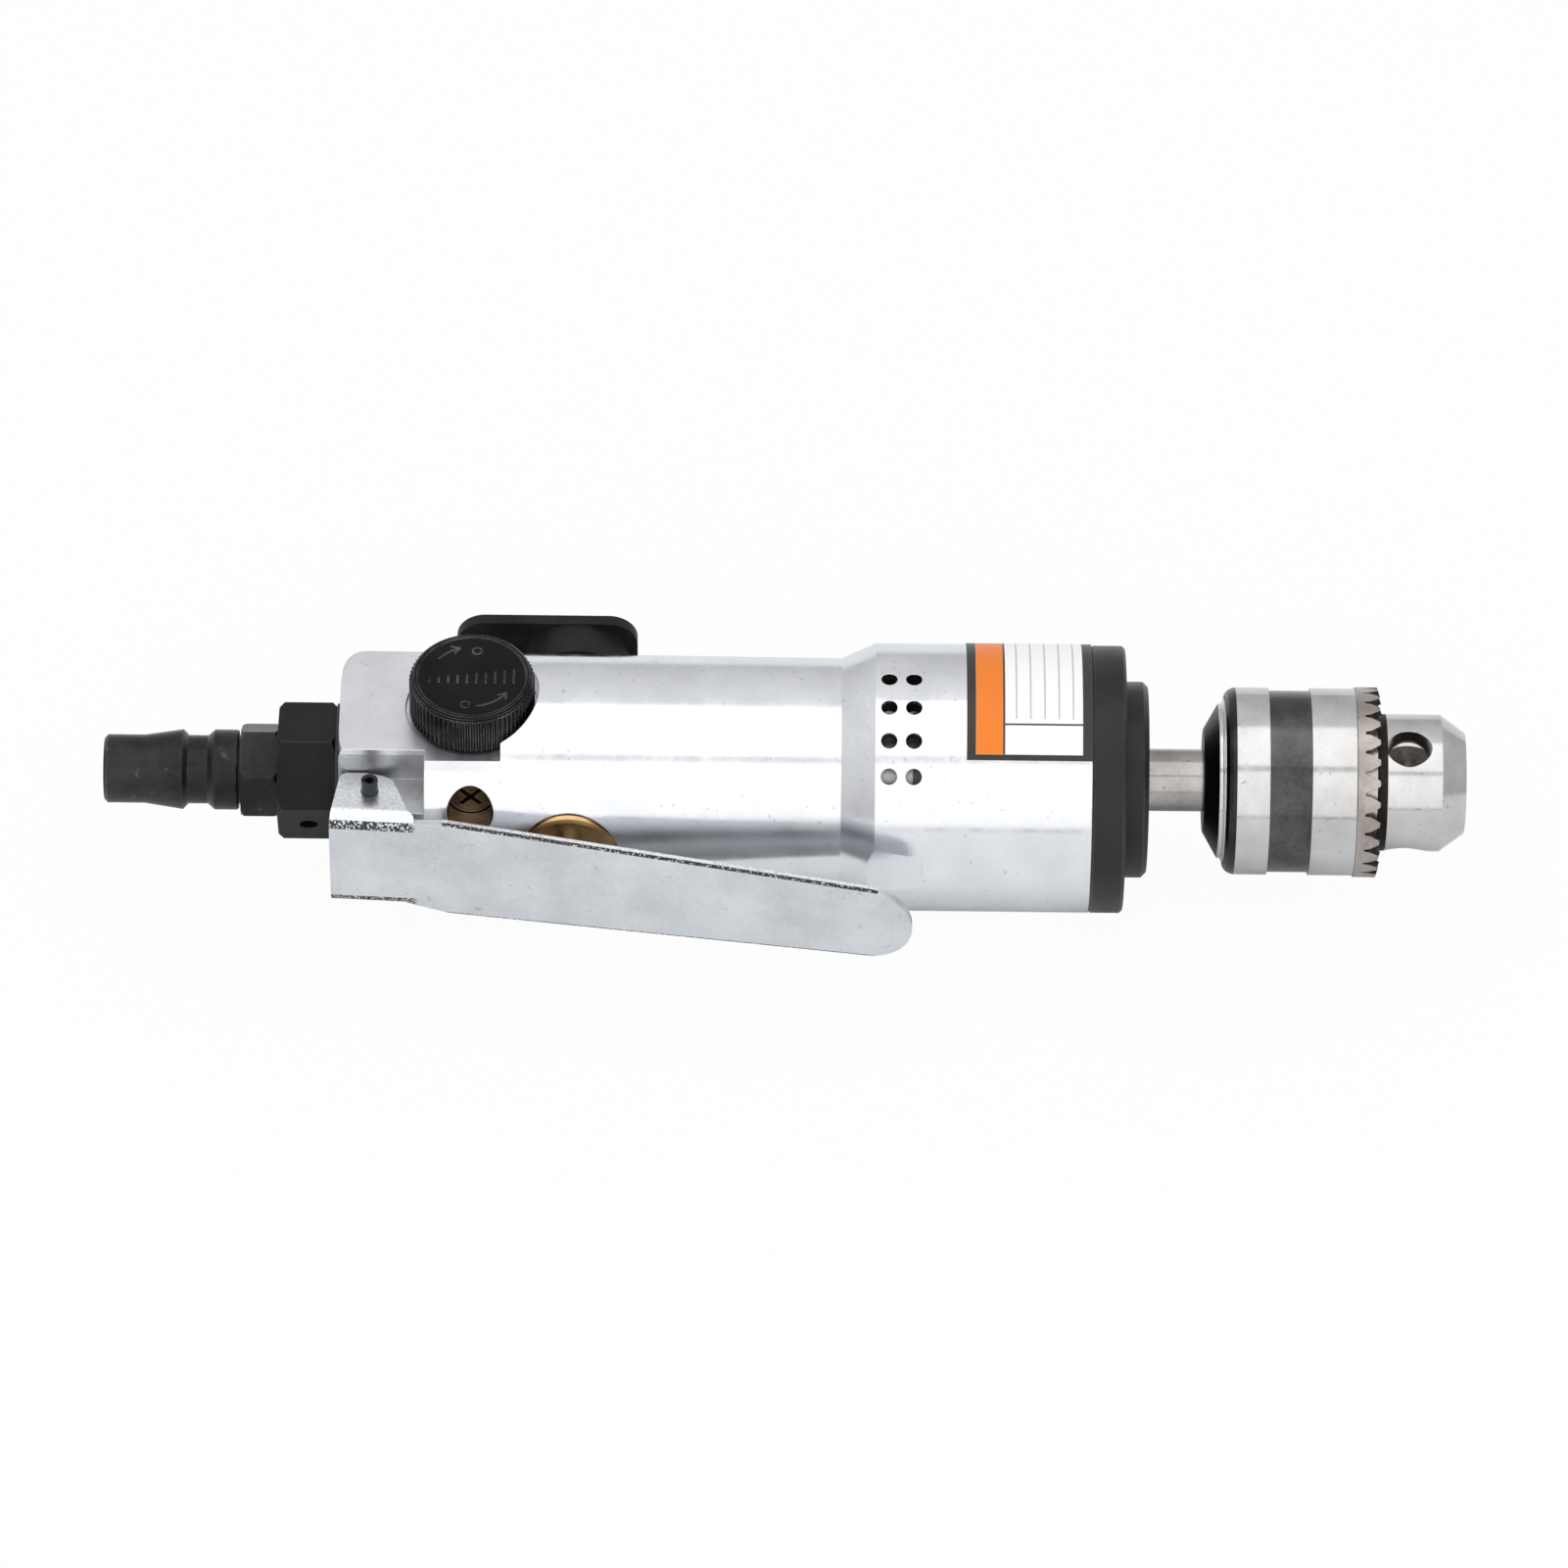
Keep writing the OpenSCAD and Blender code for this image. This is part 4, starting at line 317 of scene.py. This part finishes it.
# low and high are the colours between which the mottling goes, and rough gives the roughness at both
# a band goes from one X to another, and may stay inside a radius or within limits of Y or Z
finishes = {
    "turnedAluminium": {
        "low": (0.76, 0.77, 0.79), "high": (0.85, 0.86, 0.88), "rough": (0.13, 0.2), "rings": 3200,
        "ringDepth": 1.0, "bump": 0.1, "round": 0.00025, "edge": 0.7, "edgeColour": (0.95, 0.95, 0.96),
        "specks": 0.25, "grainScale": 1500,
        # painted shade: the inside of the bores seen through the exhaust holes is coloured dark
        "bands": [{"from": -0.1057, "to": -0.0945, "inside": 0.0232, "low": (0.05, 0.045, 0.04),
                   "high": (0.12, 0.1, 0.09), "rough": 0.5},
                  # painted shade: mid grey on the lever side at the rear, round the lever's ear and its notch
                  {"from": -0.21, "to": -0.1861, "within": (("Y", -0.03, -0.0107),),
                   "low": (0.4, 0.4, 0.41), "high": (0.6, 0.61, 0.62), "rough": 0.42},
                  # a rougher milled flat at the rear, its colour darkened as painted shade
                  {"from": -0.21, "to": -0.1727, "within": (("Z", 0.0155, 0.0169),),
                   "low": (0.68, 0.68, 0.7), "high": (0.76, 0.77, 0.79), "rough": 0.36}]},
    "zincSheet": {
        "low": (0.6, 0.62, 0.64), "high": (0.76, 0.78, 0.79), "rough": (0.27, 0.4), "bump": 0.12,
        "scratches": 0.4, "specks": 0.2, "round": 0.0002, "edge": 0.5, "edgeColour": (0.9, 0.9, 0.9),
        "grainScale": 1100},
    # the edge colour of the black oxide and of the plug is partly wear, partly painted glints
    "blackOxide": {
        "low": (0.003, 0.003, 0.003), "high": (0.012, 0.011, 0.01), "rough": (0.28, 0.42), "metal": 0.0,
        "specular": 0.17, "bump": 0.12, "round": 0.0003, "edge": 0.9, "edgeColour": (0.16, 0.15, 0.14),
        "rings": 3000, "ringDepth": 0.4},
    "plugOxide": {
        "low": (0.003, 0.003, 0.003), "high": (0.032, 0.029, 0.026), "rough": (0.24, 0.36), "metal": 0.0,
        "specular": 0.24, "bump": 0.12, "round": 0.0003, "edge": 0.9, "edgeColour": (0.2, 0.19, 0.18),
        "specks": 0.15, "speckColour": (0.3, 0.29, 0.28)},
    # the knob's edge colour is painted glints on the knurl and a painted highlight on its rim
    "blackKnob": {
        "low": (0.003, 0.003, 0.003), "high": (0.008, 0.008, 0.008), "rough": (0.18, 0.26), "metal": 0.0,
        "specular": 0.11, "bump": 0.1, "round": 0.0002, "edge": 1.0, "edgeWidth": 0.00022,
        "edgeColour": (0.3, 0.29, 0.28), "grainScale": 1500},
    "blackMoulded": {
        "low": (0.008, 0.008, 0.008), "high": (0.018, 0.018, 0.018), "rough": (0.42, 0.56), "metal": 0.0,
        "specular": 0.17, "bump": 0.2, "round": 0.0003, "edge": 0.25, "edgeColour": (0.08, 0.08, 0.08),
        "grainScale": 2500, "grainDepth": 0.7},
    "capBlack": {
        "low": (0.008, 0.008, 0.008), "high": (0.018, 0.018, 0.018), "rough": (0.3, 0.42), "metal": 0.0,
        "specular": 0.3, "bump": 0.12, "rings": 2600, "round": 0.0003, "edge": 0.7,
        "edgeColour": (0.18, 0.18, 0.18)},
    "blackPin": {
        "low": (0.004, 0.004, 0.004), "high": (0.014, 0.014, 0.014), "rough": (0.16, 0.26), "metal": 0.0,
        "specular": 0.4, "bump": 0.08, "round": 0.00012, "edge": 0.3, "edgeWidth": 0.00012,
        "edgeColour": (0.3, 0.3, 0.3)},
    "groundSteel": {
        "low": (0.3, 0.275, 0.26), "high": (0.46, 0.43, 0.41), "rough": (0.1, 0.17), "rings": 3600,
        "bump": 0.12, "round": 0.0002, "specks": 0.5, "grainScale": 1500},
    "plainSteel": {
        "low": (0.42, 0.42, 0.42), "high": (0.56, 0.56, 0.56), "rough": (0.25, 0.4), "bump": 0.1,
        "specks": 0.2},
    "darkSteel": {
        "low": (0.1, 0.095, 0.09), "high": (0.2, 0.19, 0.18), "rough": (0.35, 0.5), "bump": 0.15},
    "machinedBrass": {
        "low": (0.5, 0.31, 0.13), "high": (0.72, 0.48, 0.24), "rough": (0.16, 0.3), "rings": 2600,
        "ringAxis": "Y", "bump": 0.1, "round": 0.0002, "specks": 0.3},
    "darkBronze": {
        "low": (0.03, 0.02, 0.012), "high": (0.16, 0.1, 0.05), "rough": (0.3, 0.45), "bump": 0.25,
        "specks": 0.5, "edge": 0.8, "edgeColour": (0.6, 0.42, 0.22), "grainScale": 2200},
    "castIron": {
        "low": (0.2, 0.2, 0.2), "high": (0.32, 0.32, 0.32), "rough": (0.45, 0.6), "bump": 0.4,
        "grainScale": 2500, "grainDepth": 1.0},
    "blackRubber": {
        "low": (0.012, 0.012, 0.012), "high": (0.028, 0.028, 0.028), "rough": (0.55, 0.7), "metal": 0.0,
        "bump": 0.25, "grainScale": 3000, "grainDepth": 0.8},
    "fibreSheet": {
        "low": (0.22, 0.15, 0.09), "high": (0.38, 0.27, 0.17), "rough": (0.6, 0.75), "metal": 0.0,
        "bump": 0.3, "grainScale": 2600, "grainDepth": 0.9},
    "springSteel": {
        "low": (0.35, 0.35, 0.36), "high": (0.5, 0.5, 0.5), "rough": (0.2, 0.3), "bump": 0.08},
    "chuckSteel": {
        "low": (0.54, 0.53, 0.52), "high": (0.66, 0.65, 0.64), "rough": (0.1, 0.17), "rings": 3600,
        "bump": 0.12, "round": 0.00025, "specks": 0.3, "grainScale": 1500,
        "bands": [{"from": -0.06, "to": -0.0444, "low": (0.012, 0.011, 0.01), "high": (0.03, 0.028, 0.026),
                   "rough": 0.38},
                  # painted shade: the body is dark where it shows in the groove between the sleeve's teeth
                  # and the nose
                  {"from": -0.03, "to": -0.0142, "low": (0.012, 0.01, 0.008), "high": (0.04, 0.033, 0.026),
                   "rough": 0.5},
                  # painted shade: dark inside the bore, within 8.2 mm of the axis
                  {"from": -0.04, "to": 0.001, "inside": 0.0082, "low": (0.05, 0.045, 0.04),
                   "high": (0.16, 0.15, 0.14), "rough": 0.4}]},
    "chuckSleeve": {
        "low": (0.54, 0.53, 0.52), "high": (0.66, 0.65, 0.64), "rough": (0.1, 0.17), "rings": 3600,
        "bump": 0.12, "round": 0.00025, "specks": 0.35, "grainScale": 1500,
        "bands": [{"from": -0.0354, "to": -0.0279, "low": (0.055, 0.054, 0.053),
                   "high": (0.13, 0.128, 0.125), "rough": 0.2},
                  {"from": -0.05, "to": -0.0413, "low": (0.02, 0.018, 0.017), "high": (0.055, 0.05, 0.048),
                   "rough": 0.28},
                  {"from": -0.0199, "to": -0.013, "low": (0.3, 0.26, 0.235), "high": (0.52, 0.47, 0.43),
                   "rough": 0.3},
                  # painted shade: the teeth are dark at their roots, within 16.94 mm of the axis
                  {"from": -0.0199, "to": -0.013, "inside": 0.01694, "insideSoft": 0.00008,
                   "low": (0.03, 0.022, 0.016), "high": (0.1, 0.075, 0.055), "rough": 0.5}]}}
made = {name: makeFinish(name, look) for name, look in finishes.items()}

# bent sheet: ragged dark specks on the folds, bright specks on the ear's rim as painted glints, and a painted
# highlight line and a painted shade line along the blade's edges
leverSpecksAndLight = {"rear": -0.21, "earEnd": -0.1878, "earSoft": 0.0006, "fold": (0.0085, 0.0102),
              "foldSoft": 0.00015, "rim": (0.0102, 0.0112), "rimSoft": 0.0001, "taperFrom": (-0.1818, 0.0112),
              "taperTo": (-0.10735, 0.00825), "bend": (-0.18665, -0.0234), "slope": 9.17, "sheet": 0.0015,
              "sheetSoft": 0.00008, "above": 0.001, "line": 0.0002, "speckScale": 2400, "speckGain": 30,
              "foldLevel": 0.44, "rimLevel": 0.47, "lineLevel": 0.4, "sideLevel": 0.45, "darkShare": 0.95,
              "dark": (0.02, 0.019, 0.018), "bright": (0.97, 0.97, 0.97)}


def paintLeverSpecksAndLight(material, look):
    tree, shader = material.node_tree, principledOf(material)
    colour = shader.inputs["Base Color"].links[0].from_socket
    place, parts = objectPlace(tree)
    along, across = parts["X"], calc(tree, "ABSOLUTE", parts["Z"])
    noise = newNode(tree, "TexNoise", Scale=look["speckScale"], Detail=2, Roughness=0.6)
    tree.links.new(place, noise.inputs["Vector"])

    def broken(mask, level):
        specks = rampFrom(tree, noise.outputs[0], level, look["speckGain"])
        return calc(tree, "MULTIPLY", mask, calc(tree, "MINIMUM", specks, 1))

    ear = inBand(tree, along, look["rear"], look["earEnd"], look["earSoft"])
    fold = inBand(tree, across, *look["fold"], look["foldSoft"])
    rim = inBand(tree, across, *look["rim"], look["rimSoft"])
    dark = broken(calc(tree, "MULTIPLY", ear, fold), look["foldLevel"])
    # painted glints: bright specks along the ear's rim
    rimGlints = broken(calc(tree, "MULTIPLY", ear, rim), look["rimLevel"])
    (x0, half0), (x1, half1) = look["taperFrom"], look["taperTo"]
    slope = (half1 - half0) / (x1 - x0)
    edge = calc(tree, "SUBTRACT", calc(tree, "MULTIPLY_ADD", along, slope, half0 - slope * x0), across)
    rise = math.tan(math.radians(look["slope"]))
    bendX, bendY = look["bend"]
    depth = calc(tree, "ADD", parts["Y"], calc(tree, "MULTIPLY_ADD", along, rise, -bendY - bendX * rise))
    blade = calc(tree, "GREATER_THAN", along, look["earEnd"])
    near = calc(tree, "MULTIPLY", blade, calc(tree, "LESS_THAN", edge, look["line"]))
    outer = inBand(tree, depth, -look["above"], look["sheet"] / 2, look["sheetSoft"])
    # painted shade: the dark line along the blade's edges
    line = broken(calc(tree, "MULTIPLY", near, outer), look["lineLevel"])
    # painted highlight: the bright line on the side of the blade's edges
    side = broken(calc(tree, "MULTIPLY", near, calc(tree, "SUBTRACT", 1, outer)), look["sideLevel"])
    foldSpecksAndShadeLine = calc(tree, "MULTIPLY", calc(tree, "MAXIMUM", dark, line), look["darkShare"])
    colour = blendColour(tree, foldSpecksAndShadeLine, colour, look["dark"])
    colour = blendColour(tree, calc(tree, "MAXIMUM", rimGlints, side), colour, look["bright"])
    tree.links.new(colour, shader.inputs["Base Color"])


paintLeverSpecksAndLight(made["zincSheet"], leverSpecksAndLight)
print("finishes made:", len(made))

# printed label: coloured areas by length along the barrel, in metres, and by angle round it, in degrees
labelPrint = {"left": -0.0897, "right": -0.0673, "border": (0.0016, 0.0018), "bottom": -16.5, "top": 126.5,
              "edge": 2.45, "panelSoft": 0.00004, "angleSoft": 0.15, "orange": 0.0048, "line": 0.0004,
              "lineSoft": 0.00003, "divider": 110.7, "dividerHalf": 0.45, "dividerSoft": 0.1,
              "firstRow": -0.0809, "rowPitch": 0.00253, "rows": 5, "rowWidth": 0.00032, "rowOver": 0.3,
              "rowSoft": 0.01, "rowEnds": (3, 2.5), "rowShare": 0.6, "rowColour": (0.3, 0.29, 0.29),
              "borderColour": (0.02, 0.016, 0.014), "panelColour": (0.93, 0.92, 0.91),
              "orangeColour": (0.86, 0.2, 0.004), "lineColour": (0.04, 0.035, 0.03), "grainScale": 1800,
              "agedShare": 0.06, "agedColour": (0.7, 0.66, 0.6), "bump": 0.05, "rough": 0.3,
              "roughSpread": 0.12, "specular": 0.25}


def makeLabel(look):
    material, tree, shader = newMaterial("printedLabel")
    place, parts = objectPlace(tree)
    angle = calc(tree, "DEGREES", calc(tree, "ARCTAN2", parts["Z"], parts["Y"]))
    along = parts["X"]
    left, right = look["left"] + look["border"][0], look["right"] - look["border"][1]
    low, high = look["bottom"] + look["edge"], look["top"] - look["edge"]
    lineFrom = left + look["orange"]
    panel = calc(tree, "MULTIPLY", inBand(tree, along, left, right, look["panelSoft"]),
                 inBand(tree, angle, low, high, look["angleSoft"]))
    orange = inBand(tree, along, left, lineFrom, look["panelSoft"])
    line = inBand(tree, along, lineFrom, lineFrom + look["line"], look["lineSoft"])
    colour = blendColour(tree, panel, look["borderColour"], look["panelColour"])
    colour = blendColour(tree, calc(tree, "MULTIPLY", orange, panel), colour, look["orangeColour"])
    rowPlace = calc(tree, "DIVIDE", calc(tree, "SUBTRACT", along, look["firstRow"]), look["rowPitch"])
    offRow = calc(tree, "ABSOLUTE", calc(tree, "SUBTRACT", rowPlace, calc(tree, "ROUND", rowPlace)))
    ruled = calc(tree, "LESS_THAN", offRow, look["rowWidth"] / 2 / look["rowPitch"])
    firstEnd, lastEnd = look["rowEnds"]
    lastRow = look["rows"] - 1
    inRows = calc(tree, "MULTIPLY",
                  inBand(tree, rowPlace, -look["rowOver"], lastRow + look["rowOver"], look["rowSoft"]),
                  inBand(tree, angle, low + firstEnd, look["divider"] - lastEnd, look["angleSoft"]))
    rows = calc(tree, "MULTIPLY", calc(tree, "MULTIPLY", ruled, inRows), look["rowShare"])
    colour = blendColour(tree, rows, colour, look["rowColour"])
    divider = calc(tree, "MULTIPLY", inBand(tree, angle, look["divider"] - look["dividerHalf"],
                                            look["divider"] + look["dividerHalf"], look["dividerSoft"]),
                   calc(tree, "GREATER_THAN", along, lineFrom))
    dark = calc(tree, "MULTIPLY", calc(tree, "MAXIMUM", line, divider), panel)
    colour = blendColour(tree, dark, colour, look["lineColour"])
    grain = newNode(tree, "Group", node_tree=groups["grain"])
    grain.inputs["Scale"].default_value = look["grainScale"]
    tree.links.new(place, grain.inputs["Vector"])
    colour = blendColour(tree, calc(tree, "MULTIPLY", grain.outputs["Cloud"], look["agedShare"]), colour,
                         look["agedColour"])
    bump = newNode(tree, "Bump", Strength=look["bump"], Distance=finishLevels["bumpDistance"])
    tree.links.new(grain.outputs["Grain"], bump.inputs["Height"])
    tree.links.new(bump.outputs[0], shader.inputs["Normal"])
    tree.links.new(colour, shader.inputs["Base Color"])
    tree.links.new(calc(tree, "MULTIPLY_ADD", grain.outputs["Cloud"], look["roughSpread"], look["rough"]),
                   shader.inputs["Roughness"])
    shader.inputs["Specular IOR Level"].default_value = look["specular"]
    return material


made["printedLabel"] = makeLabel(labelPrint)

nodeFinish = {
    "housing": "turnedAluminium", "label": "printedLabel", "throttle_lever": "zincSheet",
    "lever_pin": "blackPin", "inlet_washer": "blackRubber", "inlet_bushing": "blackOxide",
    "air_plug": "plugOxide", "front_cap": "capBlack", "shaft_seal": "blackRubber",
    "valve_seal": "blackRubber", "regulator_o_rings": "blackRubber",
    "throttle_bush": "machinedBrass", "reverse_bush": "machinedBrass",
    "regulator_stem": "machinedBrass", "regulator_knob": "blackKnob", "regulator_screw": "darkBronze",
    "reverse_lever": "blackMoulded", "reverse_screw": "darkSteel", "throttle_spring": "springSteel",
    "spool_clip": "springSteel", "rear_gasket": "fibreSheet", "rotor_vanes": "fibreSheet",
    "rear_end_plate": "castIron", "front_end_plate": "castIron", "ring_gear": "castIron",
    "spindle": "groundSteel", "chuck_body": "chuckSteel", "chuck_sleeve": "chuckSleeve",
    "chuck_screw": "darkSteel"}
for name, piece in nodes.items():
    piece.data.materials.clear()
    piece.data.materials.append(made[nodeFinish.get(name, "plainSteel")])
print("finishes given to", len(nodes), "pieces")

# raised marks on the knob: two arcs with arrow heads, two small rings and a row of ticks that grow
knobMarks = {"centre": (-0.1779, 0.0), "low": 0.0245, "high": 0.02466, "stroke": 0.00042, "bevel": 0.0001,
             "arcRadius": 0.0074, "arcs": ((145, 110), (-82, -35)), "arcPoints": 40, "arrow": 0.0011,
             "arrowTip": 0.0003, "arrowSpread": 0.8, "dotRadius": 0.0008, "dotPoints": 24,
             "dotAt": ((0.0008, 0.0064), (-0.0010, -0.0070)), "ticks": 10, "tickSpan": 0.015,
             "tickHeight": (0.0012, 0.0034)}


# a strip carried along a line: each point of the profile, a half width and a height, is set off sideways
# from the line by its half width and lies at its height
def raisedRibbon(line, look, closed=False):
    line = np.asarray(line, float)
    ahead, behind = np.roll(line, -1, 0) - line, line - np.roll(line, 1, 0)
    if not closed:
        ahead[-1], behind[0] = behind[-1], ahead[0]
    way = ahead / np.linalg.norm(ahead, axis=1)[:, None] + behind / np.linalg.norm(behind, axis=1)[:, None]
    way /= np.linalg.norm(way, axis=1)[:, None]
    side = np.column_stack((-way[:, 1], way[:, 0]))
    half, slope, top = look["stroke"] / 2, look["bevel"], look["high"]
    profile = np.array([(half, look["low"]), (half, top - slope), (half - slope, top), (slope - half, top),
                        (-half, top - slope), (-half, look["low"])])
    flat = line[None] + side[None] * profile[:, 0, None, None]
    points = np.concatenate((flat, np.broadcast_to(profile[:, 1, None, None], flat.shape[:2] + (1,))), 2)
    count, corners = len(line), len(profile)
    row, step = np.meshgrid(np.arange(corners), np.arange(count if closed else count - 1), indexing="ij")
    here, beside, nextStep = row * count, (row + 1) % corners * count, (step + 1) % count
    quads = np.stack((here + step, beside + step, beside + nextStep, here + nextStep), -1)
    faces = quads.reshape(-1, 4).tolist()
    if not closed:
        ends = np.arange(corners) * count
        faces += [ends[::-1].tolist(), (ends + count - 1).tolist()]
    return points.reshape(-1, 3), faces


# points of an arc: centre plus radius times the cosine and the sine of the angle
def arcPoints(radius, first, last, count, centre=(0.0, 0.0)):
    angle = np.radians(np.linspace(first, last, count))
    return np.column_stack((centre[0] + radius * np.cos(angle), centre[1] + radius * np.sin(angle)))


# the lines of all marks, each with whether it is closed
def knobLines(look):
    lines = []
    for first, last in look["arcs"]:
        line = arcPoints(look["arcRadius"], first, last, look["arcPoints"])
        tip, way = line[-1], (line[-1] - line[-2]) / np.linalg.norm(line[-1] - line[-2])
        side = np.array((-way[1], way[0])) * look["arrow"] * look["arrowSpread"]
        lines.append((line, False))
        for turn in (-1, 1):
            barb = np.array((tip + way * look["arrowTip"], tip - way * look["arrow"] + side * turn))
            lines.append((barb, False))
    for centre in look["dotAt"]:
        lines.append((arcPoints(look["dotRadius"], 0, 360, look["dotPoints"] + 1, centre)[:-1], True))
    shortest, tallest = look["tickHeight"]
    base = -tallest / 2
    for x, height in zip(np.linspace(-0.5, 0.5, look["ticks"]) * look["tickSpan"],
                         np.linspace(shortest, tallest, look["ticks"])):
        lines.append((np.array(((x, base), (x, base + height))), False))
    return lines


def makeKnobMarks(look):
    points, faces, start = [], [], 0
    for line, closed in knobLines(look):
        corners, sides = raisedRibbon(line + np.array(look["centre"]), look, closed)
        points.append(corners)
        faces += [tuple(i + start for i in side) for side in sides]
        start += len(corners)
    mesh = bpy.data.meshes.new("knobMarks")
    mesh.from_pydata(np.concatenate(points).tolist(), [], faces)
    shape = bmesh.new()
    shape.from_mesh(mesh)
    bmesh.ops.recalc_face_normals(shape, faces=shape.faces)
    shape.to_mesh(mesh)
    shape.free()
    piece = bpy.data.objects.new("knobMarks", mesh)
    bpy.context.scene.collection.objects.link(piece)
    return piece


marks = makeKnobMarks(knobMarks)
marks.data.materials.append(made["blackKnob"])
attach(marks, "regulator")
print("knob marks made:", len(marks.data.polygons), "faces")

# floor, world and two soft boxes
studio = {"centre": (-0.122, 0, 0), "floorZ": -0.0245, "floorSize": 6.0, "paper": (0.82, 0.83, 0.84, 1),
          "cameraGlow": 0.96, "white": 1.0, "sky": (0.97, 0.98, 1, 1), "skyHeights": (-0.2, 0.9),
          "skyLevels": (0.5, 0.9),
          "boxes": [{"name": "frontBox", "elevation": 30.1, "spread": 27.9, "distance": 1.1, "width": 1.7,
                     "radiance": 0.6},
                    {"name": "topBox", "elevation": 90.4, "spread": 25.8, "distance": 1.1, "width": 1.7,
                     "radiance": 0.64}]}


def placeSoftBox(look, centre):
    angle = math.radians(look["elevation"])
    away = Vector((0, -math.cos(angle), math.sin(angle)))
    height = 2 * look["distance"] * math.tan(math.radians(look["spread"]))
    lamp = bpy.data.lights.new(look["name"], "AREA")
    lamp.shape, lamp.size, lamp.size_y = "RECTANGLE", look["width"], height
    lamp.energy = look["radiance"] * math.pi * look["width"] * height
    holder = bpy.data.objects.new(look["name"], lamp)
    bpy.context.scene.collection.objects.link(holder)
    holder.location = centre + away * look["distance"]
    holder.rotation_mode = "QUATERNION"
    holder.rotation_quaternion = away.to_track_quat("Z", "Y")
    holder.visible_camera = False


# the first shader for all rays but the camera's, which see the second by the share given
def mixForCamera(tree, first, second, share, output):
    rays, mix = newNode(tree, "LightPath"), newNode(tree, "MixShader")
    tree.links.new(calc(tree, "MULTIPLY", rays.outputs["Is Camera Ray"], share), mix.inputs[0])
    tree.links.new(first.outputs[0], mix.inputs[1])
    tree.links.new(second.outputs[0], mix.inputs[2])
    tree.links.new(mix.outputs[0], newNode(tree, output).inputs[0])


def makeFloor(look):
    half, z = look["floorSize"] / 2, look["floorZ"]
    mesh = bpy.data.meshes.new("floor")
    corners = [(-half, -half, z), (half, -half, z), (half, half, z), (-half, half, z)]
    mesh.from_pydata(corners, [], [(0, 1, 2, 3)])
    floor = bpy.data.objects.new("floor", mesh)
    bpy.context.scene.collection.objects.link(floor)
    paper = bpy.data.materials.new("paleFloor")
    paper.use_nodes = True
    tree = paper.node_tree
    tree.nodes.clear()
    matt = newNode(tree, "BsdfDiffuse", Color=look["paper"])
    bright = newNode(tree, "Emission", Color=(1, 1, 1, 1), Strength=look["white"])
    mixForCamera(tree, matt, bright, look["cameraGlow"], "OutputMaterial")
    mesh.materials.append(paper)


def makeWorld(look):
    world = bpy.data.worlds.new("studioWorld")
    world.use_nodes = True
    tree = world.node_tree
    tree.nodes.clear()
    split = newNode(tree, "SeparateXYZ")
    tree.links.new(newNode(tree, "TexCoord").outputs["Generated"], split.inputs[0])
    dim = newNode(tree, "Background", Color=look["sky"])
    strength = remap(tree, split.outputs["Z"], *look["skyHeights"], *look["skyLevels"])
    tree.links.new(strength, dim.inputs["Strength"])
    bright = newNode(tree, "Background", Color=(1, 1, 1, 1), Strength=look["white"])
    mixForCamera(tree, dim, bright, 1, "OutputWorld")
    bpy.context.scene.world = world


for box in studio["boxes"]:
    placeSoftBox(box, Vector(studio["centre"]))
makeFloor(studio)
makeWorld(studio)
bpy.context.scene.view_settings.view_transform = "Standard"
print("studio made")
